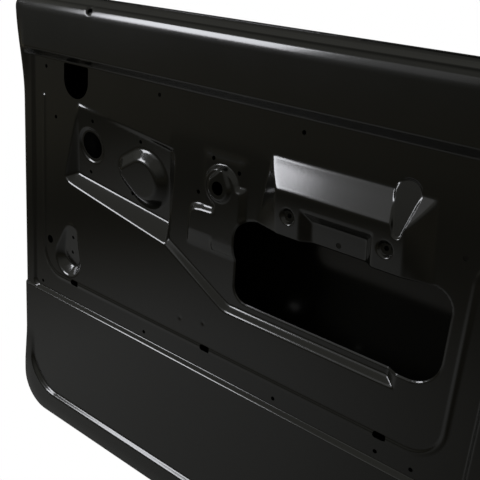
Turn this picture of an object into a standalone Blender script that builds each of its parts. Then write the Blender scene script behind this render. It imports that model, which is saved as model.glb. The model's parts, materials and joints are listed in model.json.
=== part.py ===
"""Car door shell: the bare pressed-steel shell of a left-hand front door with a bolt-on window frame.

Metres, +Z up. +X runs from the latch edge to the hinge edge, +Y from the cabin face to the outer skin.
Everything is laid out from a datum on the trim face, and the finished part has its origin on the
upper hinge seat.
"""
import math

import bmesh
import bpy
import numpy as np
from mathutils import Vector
from mathutils.geometry import delaunay_2d_cdt

# Sheets and clearances
PANEL_T = 0.0010
SKIN_T = 0.0008
PLATE_T = 0.0025
RAIL_T = 0.0012
GAP = 0.0003

# Side walls of the inner panel
LATCH_SIDE = -0.454
HINGE_SIDE = 0.440
SILL = -0.440
BELT = 0.251
SILL_CORNER = 0.060
BELT_CORNER = 0.018
EDGE_BEND = 0.011
FLANGE_BEND = 0.004
FLANGE = 0.0138
STATION = 0.070

# Outer skin: a barrel from sill to belt, slightly bowed from latch to hinge
SKIN_MID = 0.106
CROWN_Z = 0.010
CROWN_X = 0.004
HEM = 0.016
HEM_FOLD = 0.0016
HEM_LIP = 0.005
BELT_LIP = 0.010
SKIN_MARGIN = 0.016

# Belt rail, trim recess and lower panel, heights towards the cabin
RAIL_FOOT_Z = 0.171
RAIL_WALL = 0.0115
RAIL_PROUD = 0.017
TRIM_HINGE_X = 0.336
TRIM_FOOT_Z = -0.2055
TRIM_CORNER = 0.030
TRIM_WALL = 0.0066
TRIM_PROUD = 0.0066
LIP_LATCH_X = -0.425
LIP_Z = -0.391
LIP_CORNER = 0.060
LIP_WALL = 0.0075
LIP_PROUD = 0.006
LIP_FADE_Z = -0.300
LIP_FADE = 0.060
LATCH_EDGE_X = -0.430
LATCH_EDGE_WALL = 0.010
LATCH_EDGE_Z = 0.100
LATCH_EDGE_RISE = 0.100

# Sealing bead round the trim recess
BEAD_LATCH_X = -0.402
BEAD_HINGE_X = 0.306
BEAD_Z = -0.174
BEAD_TOP_Z = 0.112
BEAD_TURN_Z = 0.046
BEAD_END_X = 0.332
BEAD_CORNER = 0.042
BEAD_HALF = 0.005
BEAD_PROUD = 0.0010

# Upper panel, pressed deeper towards the shoulder line
UPPER_TOP_Z = 0.110
UPPER_RUN = 0.200
UPPER_DEPTH = 0.0075
UPPER_HINGE_X = 0.238
SHOULDER_Z = -0.107
SHOULDER_START = (-0.131, -0.047)
SHOULDER_TURN_X = -0.019
SHOULDER_WALL = 0.008

# Latch area, a plane tilted about its upper edge, with the remote handle's boss
LATCH_TILT_Z = 0.102
LATCH_TILT = 0.152
LATCH_TWIST = 0.014
LATCH_CORNERS = ((-0.351, -0.004), (-0.342, -0.011), SHOULDER_START, (-0.120, 0.078),
                 (-0.124, 0.090), (-0.322, 0.115))
LATCH_WALLS = ((0.015, 0.015), (0.0156, 0.0220), (0.014, 0.014), (0.006, 0.006),
               (0.006, 0.006), (0.003, 0.014))
HANDLE_BOSS = (-0.183, 0.030, 0.040)
HANDLE_BOSS_TIP = (-0.226, 0.038, 0.013)
HANDLE_BOSS_WALL = 0.012
LATCH_HOLE = (-0.298, 0.056, 0.020)
LATCH_DISH = 0.027
LATCH_DISH_WALL = 0.003
LATCH_DISH_DEPTH = 0.002

# Crank mounting: a stepped platform, a round step and a shield-shaped boss
CRANK = (-0.0365, 0.060)
CRANK_HOLE = 0.009
CRANK_LATCH_CORNERS = ((-0.095, -0.032), (0.003, -0.032), (0.003, 0.029), (-0.091, 0.029))
CRANK_HINGE_CORNERS = ((-0.050, -0.032), (0.003, -0.032), (0.003, 0.0665), (-0.050, 0.0665))
CRANK_WALLS = ((0.022, 0.022), (0.005, 0.005), (0.0075, 0.0075), (0.007, 0.007))
CRANK_PROUD = 0.007
CRANK_STEP = 0.029
CRANK_STEP_WALL = 0.005
CRANK_BOSS = 0.0195
CRANK_BOSS_TIP = (0.005, 0.022, 0.006)
CRANK_BOSS_WALL = 0.004
CRANK_BOSS_PROUD = 0.004
CRANK_FIELD_CORNERS = ((-0.072, 0.020), (0.003, 0.020), (0.003, 0.103), (-0.072, 0.103))
CRANK_FIELD_WALL = 0.008
CRANK_FIELD_PROUD = 0.0015

# Armrest bulge, its recess, nut seats and oval pocket
ARMREST_CORNERS = ((0.014, -0.010), (0.266, -0.010), (0.250, 0.119), (0.038, 0.119))
ARMREST_WALLS = ((0.001, 0.001), (0.038, 0.022), (0.033, 0.033), (0.019, 0.048))
ARMREST_PROUD = 0.015
ARMREST_RECESS_CORNERS = ((0.090, -0.010), (0.190, -0.010), (0.190, 0.0690), (0.094, 0.0690))
ARMREST_RECESS_WALLS = ((0.001, 0.001), (0.012, 0.010), (0.014, 0.014), (0.010, 0.018))
ARMREST_RECESS_LEVEL = -0.0055
NUT_SEATS = ((0.0765, 0.0555), (0.206, 0.0555))
NUT_SEAT_R = 0.0102
NUT_SEAT_WALL = 0.0035
NUT_SEAT_LEVEL = -0.0095
NUT_HOLE = 0.010
POCKET_TOP = (0.2145, 0.117, 0.017)
POCKET_FOOT = (0.2095, 0.072, 0.0105)
POCKET_WALL = 0.0025
POCKET_TOP_LEVEL = -0.0015
POCKET_SLOPE = 0.25
POCKET_TWIST = 0.10

# Lower latch-side pocket
CLIP_POCKET_CORNERS = ((-0.374, -0.144), (-0.352, -0.162), (-0.322, -0.156), (-0.315, -0.130),
                       (-0.315, -0.080), (-0.322, -0.075), (-0.343, -0.075), (-0.350, -0.078))
CLIP_POCKET_WALLS = ((0.012, 0.012), (0.012, 0.012), (0.008, 0.008), (0.004, 0.004),
                     (0.004, 0.004), (0.005, 0.005), (0.008, 0.008), (0.017, 0.017))
CLIP_POCKET_DEPTH = 0.018

# Holes in the face: (x, z, radius)
TRIM_HOLE = 0.0028
SMALL_HOLES = tuple((x, z, TRIM_HOLE) for x, z in (
    (-0.396, 0.157), (-0.155, 0.156), (0.078, 0.154), (0.304, 0.157), (-0.373, 0.085),
    (-0.290, 0.094), (-0.306, 0.013), (-0.1915, 0.0845), (-0.217, 0.0015), (-0.408, -0.197),
    (-0.165, -0.196), (0.077, -0.196), (0.229, -0.196), (0.276, -0.196), (-0.078, 0.043),
    (-0.053, 0.0945), (-0.010, 0.0845), (-0.3435, -0.104), (-0.352, -0.134), (0.290, 0.069)))
ROUND_HOLES = ((-0.388, -0.117, 0.0065), (0.143, 0.037, 0.0035), LATCH_HOLE, (*CRANK, CRANK_HOLE))
CLIP_SLOTS = ((-0.326, BEAD_Z), (-0.045, BEAD_Z), (0.231, BEAD_Z))
CLIP_SLOT = (0.017, 0.009)
GRIP_HOLE = (-0.354, -0.300, 0.120, 0.1685)
GRIP_HOLE_CORNERS = (0.0265, 0.0265, 0.003, 0.003)
ACCESS = (-0.009, 0.287, -0.088, 0.028)
ACCESS_CORNERS = (0.022, 0.036, 0.024, 0.028)
GRID = 0.050

# Openings in the side walls, from the datum
GLASS_SLOT = (LATCH_SIDE + 0.029, HINGE_SIDE - 0.030, 0.048, 0.080)
FRAME_BOLTS_X = (LATCH_SIDE + 0.026, LATCH_SIDE + 0.060, HINGE_SIDE - 0.062, HINGE_SIDE - 0.028)
FRAME_BOLT_Y = 0.024
FRAME_BOLT_HOLE = 0.0045
KNOB_X = -0.281
KNOB_HOLE = 0.0045
LATCH_CUT = (0.026, 0.056, 0.030, 0.072)
LATCH_SCREWS = ((0.020, 0.084), (0.062, 0.084), (0.041, 0.016))
LATCH_SCREW_HOLE = 0.0035
UPPER_HINGE_Z = 0.110
LOWER_HINGE_Z = -0.250
HINGE_Y = 0.045
HINGE_PITCH = 0.060
HINGE_HOLE = 0.0055
CHECK_Z = -0.070
CHECK_SLOT = (0.016, 0.036)
CHECK_SCREW_PITCH = 0.060
CHECK_SCREW_HOLE = 0.0035
DRAINS_X = (-0.300, 0.0, 0.300)
DRAIN = (0.024, 0.008)

# Handle and lock openings in the skin
HANDLE = (-0.345, BELT - 0.089, 0.110, 0.036)
HANDLE_CORNER = 0.008
LOCK = (-0.255, BELT - 0.089, 0.0095)
HANDLE_PLATE_MARGIN = 0.016

# Stiffeners and hinge hardware
BELT_RAIL = (LATCH_SIDE + 0.089, HINGE_SIDE - 0.090)
BELT_RAIL_DEPTH = 0.024
BELT_RAIL_DROP = 0.042
BELT_RAIL_FOOT = 0.010
OUTER_RAIL_TOP = BELT - 0.011
OUTER_RAIL_FOOT = 0.009
OUTER_RAIL_CROWN = 0.014
OUTER_RAIL_DEPTH = 0.009
HINGE_PLATE = (0.064, 0.110)
TAPPING_PLATE = (0.030, 0.084, 0.008)
TAPPED_HOLE = 0.0045
CAGE_FOOT = 0.008
CAGE_T = 0.0010
CAGE_PLAY = 0.0005
CHECK_PLATE = (0.060, 0.084)
LATCH_PLATE = (0.056, 0.100)
WELD_NUT = (0.016, 0.009, 0.0045)
ARMREST_NUT = (0.0130, 0.006, 0.003)

MID_X = (LATCH_SIDE + HINGE_SIDE) / 2
MID_Z = (SILL + BELT) / 2
HALF_X = (HINGE_SIDE - LATCH_SIDE) / 2
HALF_Z = (BELT - SILL) / 2
ORIGIN = Vector((HINGE_SIDE, HINGE_Y, UPPER_HINGE_Z))
BLACK_PRIMER = (0.012, 0.012, 0.0125, 1)


def skin_y(x, z):
    """Outside of the skin."""
    return SKIN_MID - CROWN_Z * ((z - MID_Z) / HALF_Z) ** 2 - CROWN_X * ((x - MID_X) / HALF_X) ** 2


def ramp(distance, width):
    """0 up to a line, 1 from width past it, straight between."""
    return np.clip(distance / width, 0.0, 1.0)


def arc(cx, cz, radius, start, end, steps):
    """Points on an arc, in degrees, both ends included."""
    angles = [math.radians(start + (end - start) * i / steps) for i in range(steps + 1)]
    return [(cx + radius * math.cos(a), cz + radius * math.sin(a)) for a in angles]


def circle(cx, cz, radius, steps):
    return arc(cx, cz, radius, 0, 360 * (1 - 1 / steps), steps - 1)


def rounded_box(x0, x1, z0, z1, radii, steps):
    """Anticlockwise; radii for lower left, lower right, upper right, upper left."""
    corners = ((x0, z0, 1, 1, 180), (x1, z0, -1, 1, 270), (x1, z1, -1, -1, 0), (x0, z1, 1, -1, 90))
    points = []
    for (cx, cz, sx, sz, start), radius in zip(corners, radii):
        points += arc(cx + sx * radius, cz + sz * radius, radius, start, start + 90, steps)
    return points


def two_circle_hull(first, second, steps):
    """Outline round two circles (x, z, radius), anticlockwise."""
    (ax, az, ar), (bx, bz, br) = first, second
    heading = math.degrees(math.atan2(bz - az, bx - ax))
    lean = math.degrees(math.acos((ar - br) / math.hypot(bx - ax, bz - az)))
    return (arc(bx, bz, br, heading - lean, heading + lean, max(3, steps // 4))
            + arc(ax, az, ar, heading + lean, heading + 360 - lean, steps))


def distance_to_lines(x, z, lines):
    """Shortest distance from each point to any segment of the polylines."""
    best = np.full(x.shape, np.inf)
    for line in lines:
        for (ax, az), (bx, bz) in zip(line[:-1], line[1:]):
            length2 = (bx - ax) ** 2 + (bz - az) ** 2
            along = np.clip(((x - ax) * (bx - ax) + (z - az) * (bz - az)) / length2, 0, 1)
            best = np.minimum(best, np.hypot(x - ax - along * (bx - ax), z - az - along * (bz - az)))
    return best


def inside_loop(x, z, loop):
    """True where a point is inside a closed loop."""
    result = np.zeros(x.shape, dtype=bool)
    for (ax, az), (bx, bz) in zip(loop, loop[1:] + loop[:1]):
        if az == bz:
            continue
        crosses = (az > z) != (bz > z)
        result ^= crosses & (x < ax + (z - az) / (bz - az) * (bx - ax))
    return result


class StraightPressing:
    """A pressed area with straight sides, anticlockwise, and the plan width of each side's wall at its
    start and end. Past the walls its height is level(x, z)."""

    def __init__(self, corners, walls, level):
        self.corners, self.walls, self.level = list(corners), walls, level

    def sides(self):
        return zip(self.corners, self.corners[1:] + self.corners[:1], self.walls)

    def share(self, x, z):
        result = np.ones(x.shape)
        for (ax, az), (bx, bz), (start, end) in self.sides():
            length = math.hypot(bx - ax, bz - az)
            along = ((x - ax) * (bx - ax) + (z - az) * (bz - az)) / length ** 2
            depth = ((z - az) * (bx - ax) - (x - ax) * (bz - az)) / length
            result = np.minimum(result, ramp(depth, start + (end - start) * np.clip(along, 0, 1)))
        return result

    def foot(self):
        """Corners of the inner end of the walls."""
        moved = []
        for (ax, az), (bx, bz), (start, end) in self.sides():
            length = math.hypot(bx - ax, bz - az)
            nx, nz = (az - bz) / length, (bx - ax) / length
            moved.append((ax + nx * start, az + nz * start, bx + nx * end, bz + nz * end))
        corners = []
        for (ax, az, bx, bz), (cx, cz, dx, dz) in zip([moved[-1]] + moved[:-1], moved):
            turn = (bx - ax) * (dz - cz) - (bz - az) * (dx - cx)
            along = ((cx - ax) * (dz - cz) - (cz - az) * (dx - cx)) / turn
            corners.append((ax + along * (bx - ax), az + along * (bz - az)))
        return corners

    def lines(self):
        foot = self.foot()
        hips = [[a, b] for a, b in zip(self.corners, foot)]
        return [self.corners + self.corners[:1], foot + foot[:1]] + hips

    def apply(self, x, z, y):
        share = self.share(x, z)
        return y + share * (self.level(x, z) - y)


class RoundPressing:
    """A pressed area inside the hull of two circles, with one wall width all round."""

    def __init__(self, first, second, wall, level, steps=24):
        self.loop = two_circle_hull(first, second, steps) if second else circle(*first, steps)
        inner = (*first[:2], first[2] - wall)
        self.foot = (two_circle_hull(inner, (*second[:2], second[2] - wall), steps) if second
                     else circle(*inner, steps))
        self.wall, self.level = wall, level

    def lines(self):
        return [self.loop + self.loop[:1], self.foot + self.foot[:1]]

    def apply(self, x, z, y):
        depth = distance_to_lines(x, z, [self.loop + self.loop[:1]])
        share = ramp(np.where(inside_loop(x, z, self.loop), depth, 0.0), self.wall)
        return y + share * (self.level(x, z) - y)


def upper_level(x, z):
    """The upper panel leans into the door towards the shoulder line."""
    return UPPER_DEPTH * np.clip((UPPER_TOP_Z - z) / UPPER_RUN, 0, None)


def latch_level(x, z):
    return LATCH_TILT * (LATCH_TILT_Z - z) + LATCH_TWIST * (x - LATCH_CORNERS[-1][0])


def trim_level(x, z):
    return np.zeros(x.shape)


def latch_dish_level(x, z):
    return latch_level(x, z) + LATCH_DISH_DEPTH


def crank_field_level(x, z):
    return upper_level(x, z) - CRANK_FIELD_PROUD


def crank_level(x, z):
    return upper_level(x, z) - CRANK_PROUD


def crank_boss_level(x, z):
    return crank_level(x, z) - CRANK_BOSS_PROUD


def armrest_level(x, z):
    return np.full(x.shape, -ARMREST_PROUD)


def armrest_recess_level(x, z):
    return np.full(x.shape, ARMREST_RECESS_LEVEL)


def nut_seat_level(x, z):
    return np.full(x.shape, NUT_SEAT_LEVEL)


def pocket_level(x, z):
    return POCKET_TOP_LEVEL - POCKET_SLOPE * (POCKET_TOP[1] - z) + POCKET_TWIST * (x - POCKET_TOP[0])


def clip_pocket_level(x, z):
    return np.full(x.shape, CLIP_POCKET_DEPTH)


def upper_panel():
    turn = (SHOULDER_TURN_X, SHOULDER_Z)
    corners = (SHOULDER_START, turn, (UPPER_HINGE_X, SHOULDER_Z), (UPPER_HINGE_X, UPPER_TOP_Z),
               (SHOULDER_START[0], UPPER_TOP_Z))
    walls = ((SHOULDER_WALL, SHOULDER_WALL), (SHOULDER_WALL, SHOULDER_WALL), (0.006, 0.006),
             (0.001, 0.001), (0.001, 0.001))
    return StraightPressing(corners, walls, upper_level)


def pressings():
    """Every pressed area above the shoulder line, in the order that the later ones cut the earlier."""
    tip = CRANK_BOSS_TIP
    field_walls = ((CRANK_FIELD_WALL, CRANK_FIELD_WALL),) * 4
    return [
        upper_panel(),
        StraightPressing(LATCH_CORNERS, LATCH_WALLS, latch_level),
        RoundPressing(HANDLE_BOSS, HANDLE_BOSS_TIP, HANDLE_BOSS_WALL, trim_level, 28),
        RoundPressing((*LATCH_HOLE[:2], LATCH_DISH), None, LATCH_DISH_WALL, latch_dish_level),
        StraightPressing(CRANK_FIELD_CORNERS, field_walls, crank_field_level),
        StraightPressing(CRANK_LATCH_CORNERS, CRANK_WALLS, crank_level),
        StraightPressing(CRANK_HINGE_CORNERS, CRANK_WALLS, crank_level),
        RoundPressing((*CRANK, CRANK_STEP), None, CRANK_STEP_WALL, crank_level, 22),
        RoundPressing((*CRANK, CRANK_BOSS), (CRANK[0] + tip[0], CRANK[1] + tip[1], tip[2]),
                      CRANK_BOSS_WALL, crank_boss_level, 16),
        StraightPressing(ARMREST_CORNERS, ARMREST_WALLS, armrest_level),
        StraightPressing(ARMREST_RECESS_CORNERS, ARMREST_RECESS_WALLS, armrest_recess_level),
        *[RoundPressing((*seat, NUT_SEAT_R), None, NUT_SEAT_WALL, nut_seat_level, 14)
          for seat in NUT_SEATS],
        RoundPressing(POCKET_TOP, POCKET_FOOT, POCKET_WALL, pocket_level, 14),
        StraightPressing(CLIP_POCKET_CORNERS, CLIP_POCKET_WALLS, clip_pocket_level),
    ]


def bead_path(offset=0.0):
    """Middle line of the sealing bead, or a line beside it: down the latch side, along the foot, up
    the hinge side and out."""
    left, right, foot = BEAD_LATCH_X + offset, BEAD_HINGE_X - offset, BEAD_Z + offset
    radius = BEAD_CORNER - offset
    path = [(left, BEAD_TOP_Z)]
    path += arc(left + radius, foot + radius, radius, 180, 270, 6)
    path += arc(right - radius, foot + radius, radius, 270, 360, 6)
    turn = BEAD_END_X - BEAD_HINGE_X + offset
    path += arc(right + turn, BEAD_TURN_Z, turn, 180, 90, 5)
    return path


def beyond_corner(x, z, edge_x, edge_z, radius, side):
    """How far a point lies past an L of two edges with a rounded corner. side is 1 when the L's upright
    is on the hinge side and -1 on the latch side."""
    across, below = (x - edge_x) * side + radius, edge_z + radius - z
    return np.hypot(np.clip(across, 0, None), np.clip(below, 0, None)) - radius


def face_y(x, z):
    """Cabin side of the inner panel: its depth at each point of the face."""
    x, z = np.asarray(x, float), np.asarray(z, float)
    past_trim = beyond_corner(x, z, TRIM_HINGE_X, TRIM_FOOT_Z, TRIM_CORNER, 1)
    y = -TRIM_PROUD * ramp(past_trim, TRIM_WALL)
    past_lip = beyond_corner(x, z, LIP_LATCH_X, LIP_Z, LIP_CORNER, -1)
    y = y - LIP_PROUD * ramp(past_lip, LIP_WALL) * ramp(LIP_FADE_Z - z, LIP_FADE)
    bead = distance_to_lines(x, z, [bead_path()])
    y = y - BEAD_PROUD * (1 - ramp(bead, BEAD_HALF))
    for pressing in pressings():
        y = pressing.apply(x, z, y)
    edge = RAIL_PROUD * ramp(z - LATCH_EDGE_Z, LATCH_EDGE_RISE) ** 2
    y = np.minimum(y, -edge * ramp(LATCH_EDGE_X - x, LATCH_EDGE_WALL) + (x > LATCH_EDGE_X))
    return y + ramp(z - RAIL_FOOT_Z, RAIL_WALL) * (-RAIL_PROUD - y)


def stations(start, end, breaks=()):
    """Stops along a straight side, ends left out, with extra stops at the breaks."""
    count = max(1, round(abs(end - start) / STATION))
    even = [start + (end - start) * i / count for i in range(1, count)]
    stops = list(breaks) + [s for s in even if all(abs(s - b) > STATION / 4 for b in breaks)]
    return sorted(stops, reverse=end < start)


LATCH_SIDE_STOPS = (TRIM_FOOT_Z - TRIM_WALL, TRIM_FOOT_Z, LATCH_EDGE_Z, LATCH_EDGE_Z + 0.03,
                    LATCH_EDGE_Z + 0.05, RAIL_FOOT_Z, RAIL_FOOT_Z + RAIL_WALL)
HINGE_SIDE_STOPS = (RAIL_FOOT_Z, RAIL_FOOT_Z + RAIL_WALL)


def door_ring(outset):
    """Points round the door, anticlockwise from the latch side's sill corner, moved out by outset:
    (x, z, belt), with belt 0 along the sides and sill and 1 along the belt."""
    left, right, foot, top = (LATCH_SIDE - outset, HINGE_SIDE + outset, SILL - outset, BELT + outset)
    sill, belt = SILL_CORNER, BELT_CORNER
    steps = 6
    ring = [(x, z, 0) for x, z in arc(LATCH_SIDE + sill, SILL + sill, sill + outset, 180, 270, steps)]
    ring += [(x, foot, 0) for x in stations(LATCH_SIDE + sill, HINGE_SIDE - sill)]
    ring += [(x, z, 0) for x, z in arc(HINGE_SIDE - sill, SILL + sill, sill + outset, 270, 360, steps)]
    ring += [(right, z, 0) for z in stations(SILL + sill, BELT - belt, HINGE_SIDE_STOPS)]
    corner = arc(HINGE_SIDE - belt, BELT - belt, belt + outset, 0, 90, steps)
    ring += [(x, z, i / steps) for i, (x, z) in enumerate(corner)]
    ring += [(x, top, 1) for x in stations(HINGE_SIDE - belt, LATCH_SIDE + belt)]
    corner = arc(LATCH_SIDE + belt, BELT - belt, belt + outset, 90, 180, steps)
    ring += [(x, z, 1 - i / steps) for i, (x, z) in enumerate(corner)]
    ring += [(left, z, 0) for z in stations(BELT - belt, SILL + sill, LATCH_SIDE_STOPS)]
    return ring


def triangulate(outline, holes, lines, grid):
    """Delaunay triangles of a plane region. The outline's points come first in the result."""
    x, z, edges = [], [], []
    for loop in [outline] + holes:
        first = len(x)
        x += [p[0] for p in loop]
        z += [p[1] for p in loop]
        edges += [(first + i, first + (i + 1) % len(loop)) for i in range(len(loop))]
    for line in lines:
        first = len(x)
        x += [p[0] for p in line]
        z += [p[1] for p in line]
        edges += [(first + i, first + i + 1) for i in range(len(line) - 1)]
    if grid:
        gx, gz = np.meshgrid(np.arange(min(x) + grid / 2, max(x), grid),
                             np.arange(min(z) + grid / 2, max(z), grid))
        gx, gz = gx.ravel(), gz.ravel()
        fixed = [loop + loop[:1] for loop in [outline] + holes] + lines
        keep = inside_loop(gx, gz, outline) & (distance_to_lines(gx, gz, fixed) > grid * 0.4)
        x += list(gx[keep])
        z += list(gz[keep])
    points = [Vector((a, b)) for a, b in zip(x, z)]
    out, _, faces, sources, _, _ = delaunay_2d_cdt(points, edges, [], 0, 1e-6)
    order = sorted(range(len(out)), key=lambda i: min(sources[i], default=len(x)))
    place = {old: new for new, old in enumerate(order)}
    plan = np.array([(out[i].x, out[i].y) for i in order])
    plan[:len(outline)] = outline
    faces = [[place[i] for i in face] for face in faces]
    middle = np.array([plan[face].mean(axis=0) for face in faces])
    keep = inside_loop(middle[:, 0], middle[:, 1], outline)
    for hole in holes:
        keep &= ~inside_loop(middle[:, 0], middle[:, 1], hole)
    return plan, [face for face, kept in zip(faces, keep) if kept]


def close_sheet(near, far, faces):
    """Vertices and faces of the closed solid between two skins with the same faces."""
    count = len(near)
    sides = set()
    for face in faces:
        sides.update(zip(face, face[1:] + face[:1]))
    solid = [list(face) for face in faces] + [[i + count for i in reversed(face)] for face in faces]
    solid += [[b, a, a + count, b + count] for a, b in sides if (b, a) not in sides]
    return list(near) + list(far), solid


def black_primer(name):
    made = bpy.data.materials.new(name)
    made.use_nodes = True
    shader = made.node_tree.nodes["Principled BSDF"]
    shader.inputs["Base Color"].default_value = BLACK_PRIMER
    shader.inputs["Roughness"].default_value = 0.4
    return made


def add_object(name, vertices, faces):
    """A named object from datum coordinates, moved so that the upper hinge seat is the origin."""
    mesh = bpy.data.meshes.new(name)
    mesh.from_pydata([Vector(v) - ORIGIN for v in vertices], [], faces)
    edit = bmesh.new()
    edit.from_mesh(mesh)
    loose = [v for v in edit.verts if not v.link_faces]
    bmesh.ops.delete(edit, geom=loose, context="VERTS")
    bmesh.ops.recalc_face_normals(edit, faces=edit.faces)
    edit.to_mesh(mesh)
    edit.free()
    made = bpy.data.objects.new(name, mesh)
    bpy.context.scene.collection.objects.link(made)
    mesh.materials.append(black_primer(name))
    return made


def add_ring_strips(near, far, faces, rings_near, rings_far, first):
    """Joins rings of points, each outside the last, to the ring whose vertices are first."""
    previous = first
    size = len(first)
    for ring_near, ring_far in zip(rings_near, rings_far):
        start = len(near)
        near += ring_near
        far += ring_far
        current = list(range(start, start + size))
        for i in range(size):
            j = (i + 1) % size
            faces.append([previous[j], previous[i], current[i], current[j]])
        previous = current


def ring_plan(outset):
    """Plan points of the door ring, moved out by outset."""
    return [(x, z) for x, z, _ in door_ring(outset)]


def section_rings(section):
    """Rings of points for a section round the door: section(x, z, belt) gives (outset, y) stops."""
    stops = [section(x, z, belt) for x, z, belt in door_ring(0.0)]
    outward = [(x1 - x0, z1 - z0) for (x0, z0), (x1, z1) in zip(ring_plan(0.0), ring_plan(1.0))]
    rings = []
    for level in zip(*stops):
        rings.append([(x + dx * outset, y, z + dz * outset)
                      for (x, z), (dx, dz), (outset, y) in zip(ring_plan(0.0), outward, level)])
    return rings


def wall_section(x, z, belt, start, thickness):
    """Side wall of the inner panel from the end of the face at y = start: the bend, the wall and its
    flange. thickness is 0 for the outside of the sheet and PANEL_T for the inside."""
    flange_y = skin_y(x, z) - SKIN_T - GAP - PANEL_T
    stops = []
    for angle in (30, 60, 90):
        a = math.radians(angle)
        bend = EDGE_BEND - thickness
        stops.append((-EDGE_BEND + bend * math.sin(a), start + EDGE_BEND - bend * math.cos(a)))
    side = [(-thickness, flange_y - FLANGE_BEND)]
    for angle in (45, 90):
        a = math.radians(angle)
        bend = FLANGE_BEND + thickness
        side.append((FLANGE_BEND - bend * math.cos(a), flange_y - FLANGE_BEND + bend * math.sin(a)))
    side.append((FLANGE, flange_y + thickness))
    top_end = skin_y(x, z) - HEM_FOLD - 0.0005
    top = [(-thickness, top_end - step * FLANGE_BEND) for step in (3, 2, 1, 0)]
    return stops + [(s[0] + (t[0] - s[0]) * belt, s[1] + (t[1] - s[1]) * belt)
                    for s, t in zip(side, top)]


def cylinder_solid(centre, axis, radius, length, steps=16):
    """Vertices and faces of a closed cylinder about its middle."""
    turn = Vector((0, 0, 1)).rotation_difference(Vector(axis)).to_matrix()
    ends = [[Vector((math.cos(a), math.sin(a), 0)) * radius + Vector((0, 0, h * length / 2))
             for a in (2 * math.pi * i / steps for i in range(steps))] for h in (-1, 1)]
    vertices = [turn @ v + Vector(centre) for v in ends[0] + ends[1]]
    faces = [list(range(steps))[::-1], list(range(steps, 2 * steps))]
    faces += [[i, (i + 1) % steps, (i + 1) % steps + steps, i + steps] for i in range(steps)]
    return vertices, faces


def box_solid(x0, x1, y0, y1, z0, z1):
    vertices = [(x, y, z) for z in (z0, z1) for y in (y0, y1) for x in (x0, x1)]
    faces = [[0, 2, 3, 1], [4, 5, 7, 6], [0, 1, 5, 4], [2, 6, 7, 3], [0, 4, 6, 2], [1, 3, 7, 5]]
    return vertices, faces


def cut(target, name, solids):
    """Takes a set of separate solids away from an object."""
    vertices, faces = [], []
    for solid_vertices, solid_faces in solids:
        faces += [[i + len(vertices) for i in face] for face in solid_faces]
        vertices += list(solid_vertices)
    cutter = add_object(name, vertices, faces)
    cutter.hide_render = True
    cutter.display_type = "WIRE"
    modifier = target.modifiers.new(name, "BOOLEAN")
    modifier.operation = "DIFFERENCE"
    modifier.object = cutter


def hinge_bolts(z):
    return [(HINGE_Y, z - HINGE_PITCH / 2), (HINGE_Y, z + HINGE_PITCH / 2)]


def check_screws():
    return [(HINGE_Y, CHECK_Z - CHECK_SCREW_PITCH / 2), (HINGE_Y, CHECK_Z + CHECK_SCREW_PITCH / 2)]


def side_wall_cutters():
    """Glass slot, frame bolts, knob, latch, hinges, check strap and drains."""
    reach = 4 * PANEL_T
    x0, x1, y0, y1 = GLASS_SLOT
    solids = [box_solid(x0, x1, y0, y1, BELT - reach, BELT + reach)]
    for x in FRAME_BOLTS_X:
        solids.append(cylinder_solid((x, FRAME_BOLT_Y, BELT), (0, 0, 1), FRAME_BOLT_HOLE, 2 * reach))
    slant = math.sqrt(0.5) * EDGE_BEND
    knob = (KNOB_X, -RAIL_PROUD + EDGE_BEND - slant, BELT - EDGE_BEND + slant)
    solids.append(cylinder_solid(knob, (0, -1, 1), KNOB_HOLE, 2 * reach, 12))
    y0, y1, z0, z1 = LATCH_CUT
    solids.append(box_solid(LATCH_SIDE - reach, LATCH_SIDE + reach, y0, y1, z0, z1))
    for y, z in LATCH_SCREWS:
        solids.append(cylinder_solid((LATCH_SIDE, y, z), (1, 0, 0), LATCH_SCREW_HOLE, 2 * reach, 12))
    for y, z in hinge_bolts(UPPER_HINGE_Z) + hinge_bolts(LOWER_HINGE_Z):
        solids.append(cylinder_solid((HINGE_SIDE, y, z), (1, 0, 0), HINGE_HOLE, 2 * reach))
    solids.append(box_solid(HINGE_SIDE - reach, HINGE_SIDE + reach,
                            HINGE_Y - CHECK_SLOT[0] / 2, HINGE_Y + CHECK_SLOT[0] / 2,
                            CHECK_Z - CHECK_SLOT[1] / 2, CHECK_Z + CHECK_SLOT[1] / 2))
    for y, z in check_screws():
        solids.append(cylinder_solid((HINGE_SIDE, y, z), (1, 0, 0), CHECK_SCREW_HOLE, 2 * reach, 12))
    for x in DRAINS_X:
        y = skin_y(x, SILL) - 4 * DRAIN[1]
        solids.append(box_solid(x - DRAIN[0] / 2, x + DRAIN[0] / 2, y - DRAIN[1], y,
                                SILL - reach, SILL + reach))
    return solids


def face_holes():
    holes = [circle(x, z, r, 8) for x, z, r in SMALL_HOLES]
    holes += [circle(x, z, r, max(10, int(r * 1400))) for x, z, r in ROUND_HOLES]
    for x, z in CLIP_SLOTS:
        half_length, half_width = CLIP_SLOT[0] / 2, CLIP_SLOT[1] / 2
        holes.append(rounded_box(x - half_length, x + half_length, z - half_width, z + half_width,
                                 (half_width * 0.7,) * 4, 2))
    for x, z in NUT_SEATS:
        half = NUT_HOLE / 2
        holes.append([(x - half, z - half), (x + half, z - half), (x + half, z + half),
                      (x - half, z + half)])
    holes.append(rounded_box(*GRIP_HOLE, GRIP_HOLE_CORNERS, 8))
    x0, x1, z0, z1 = ACCESS
    holes.append(rounded_box(x0, x1, z0, z1, ACCESS_CORNERS, 6))
    return holes


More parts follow.
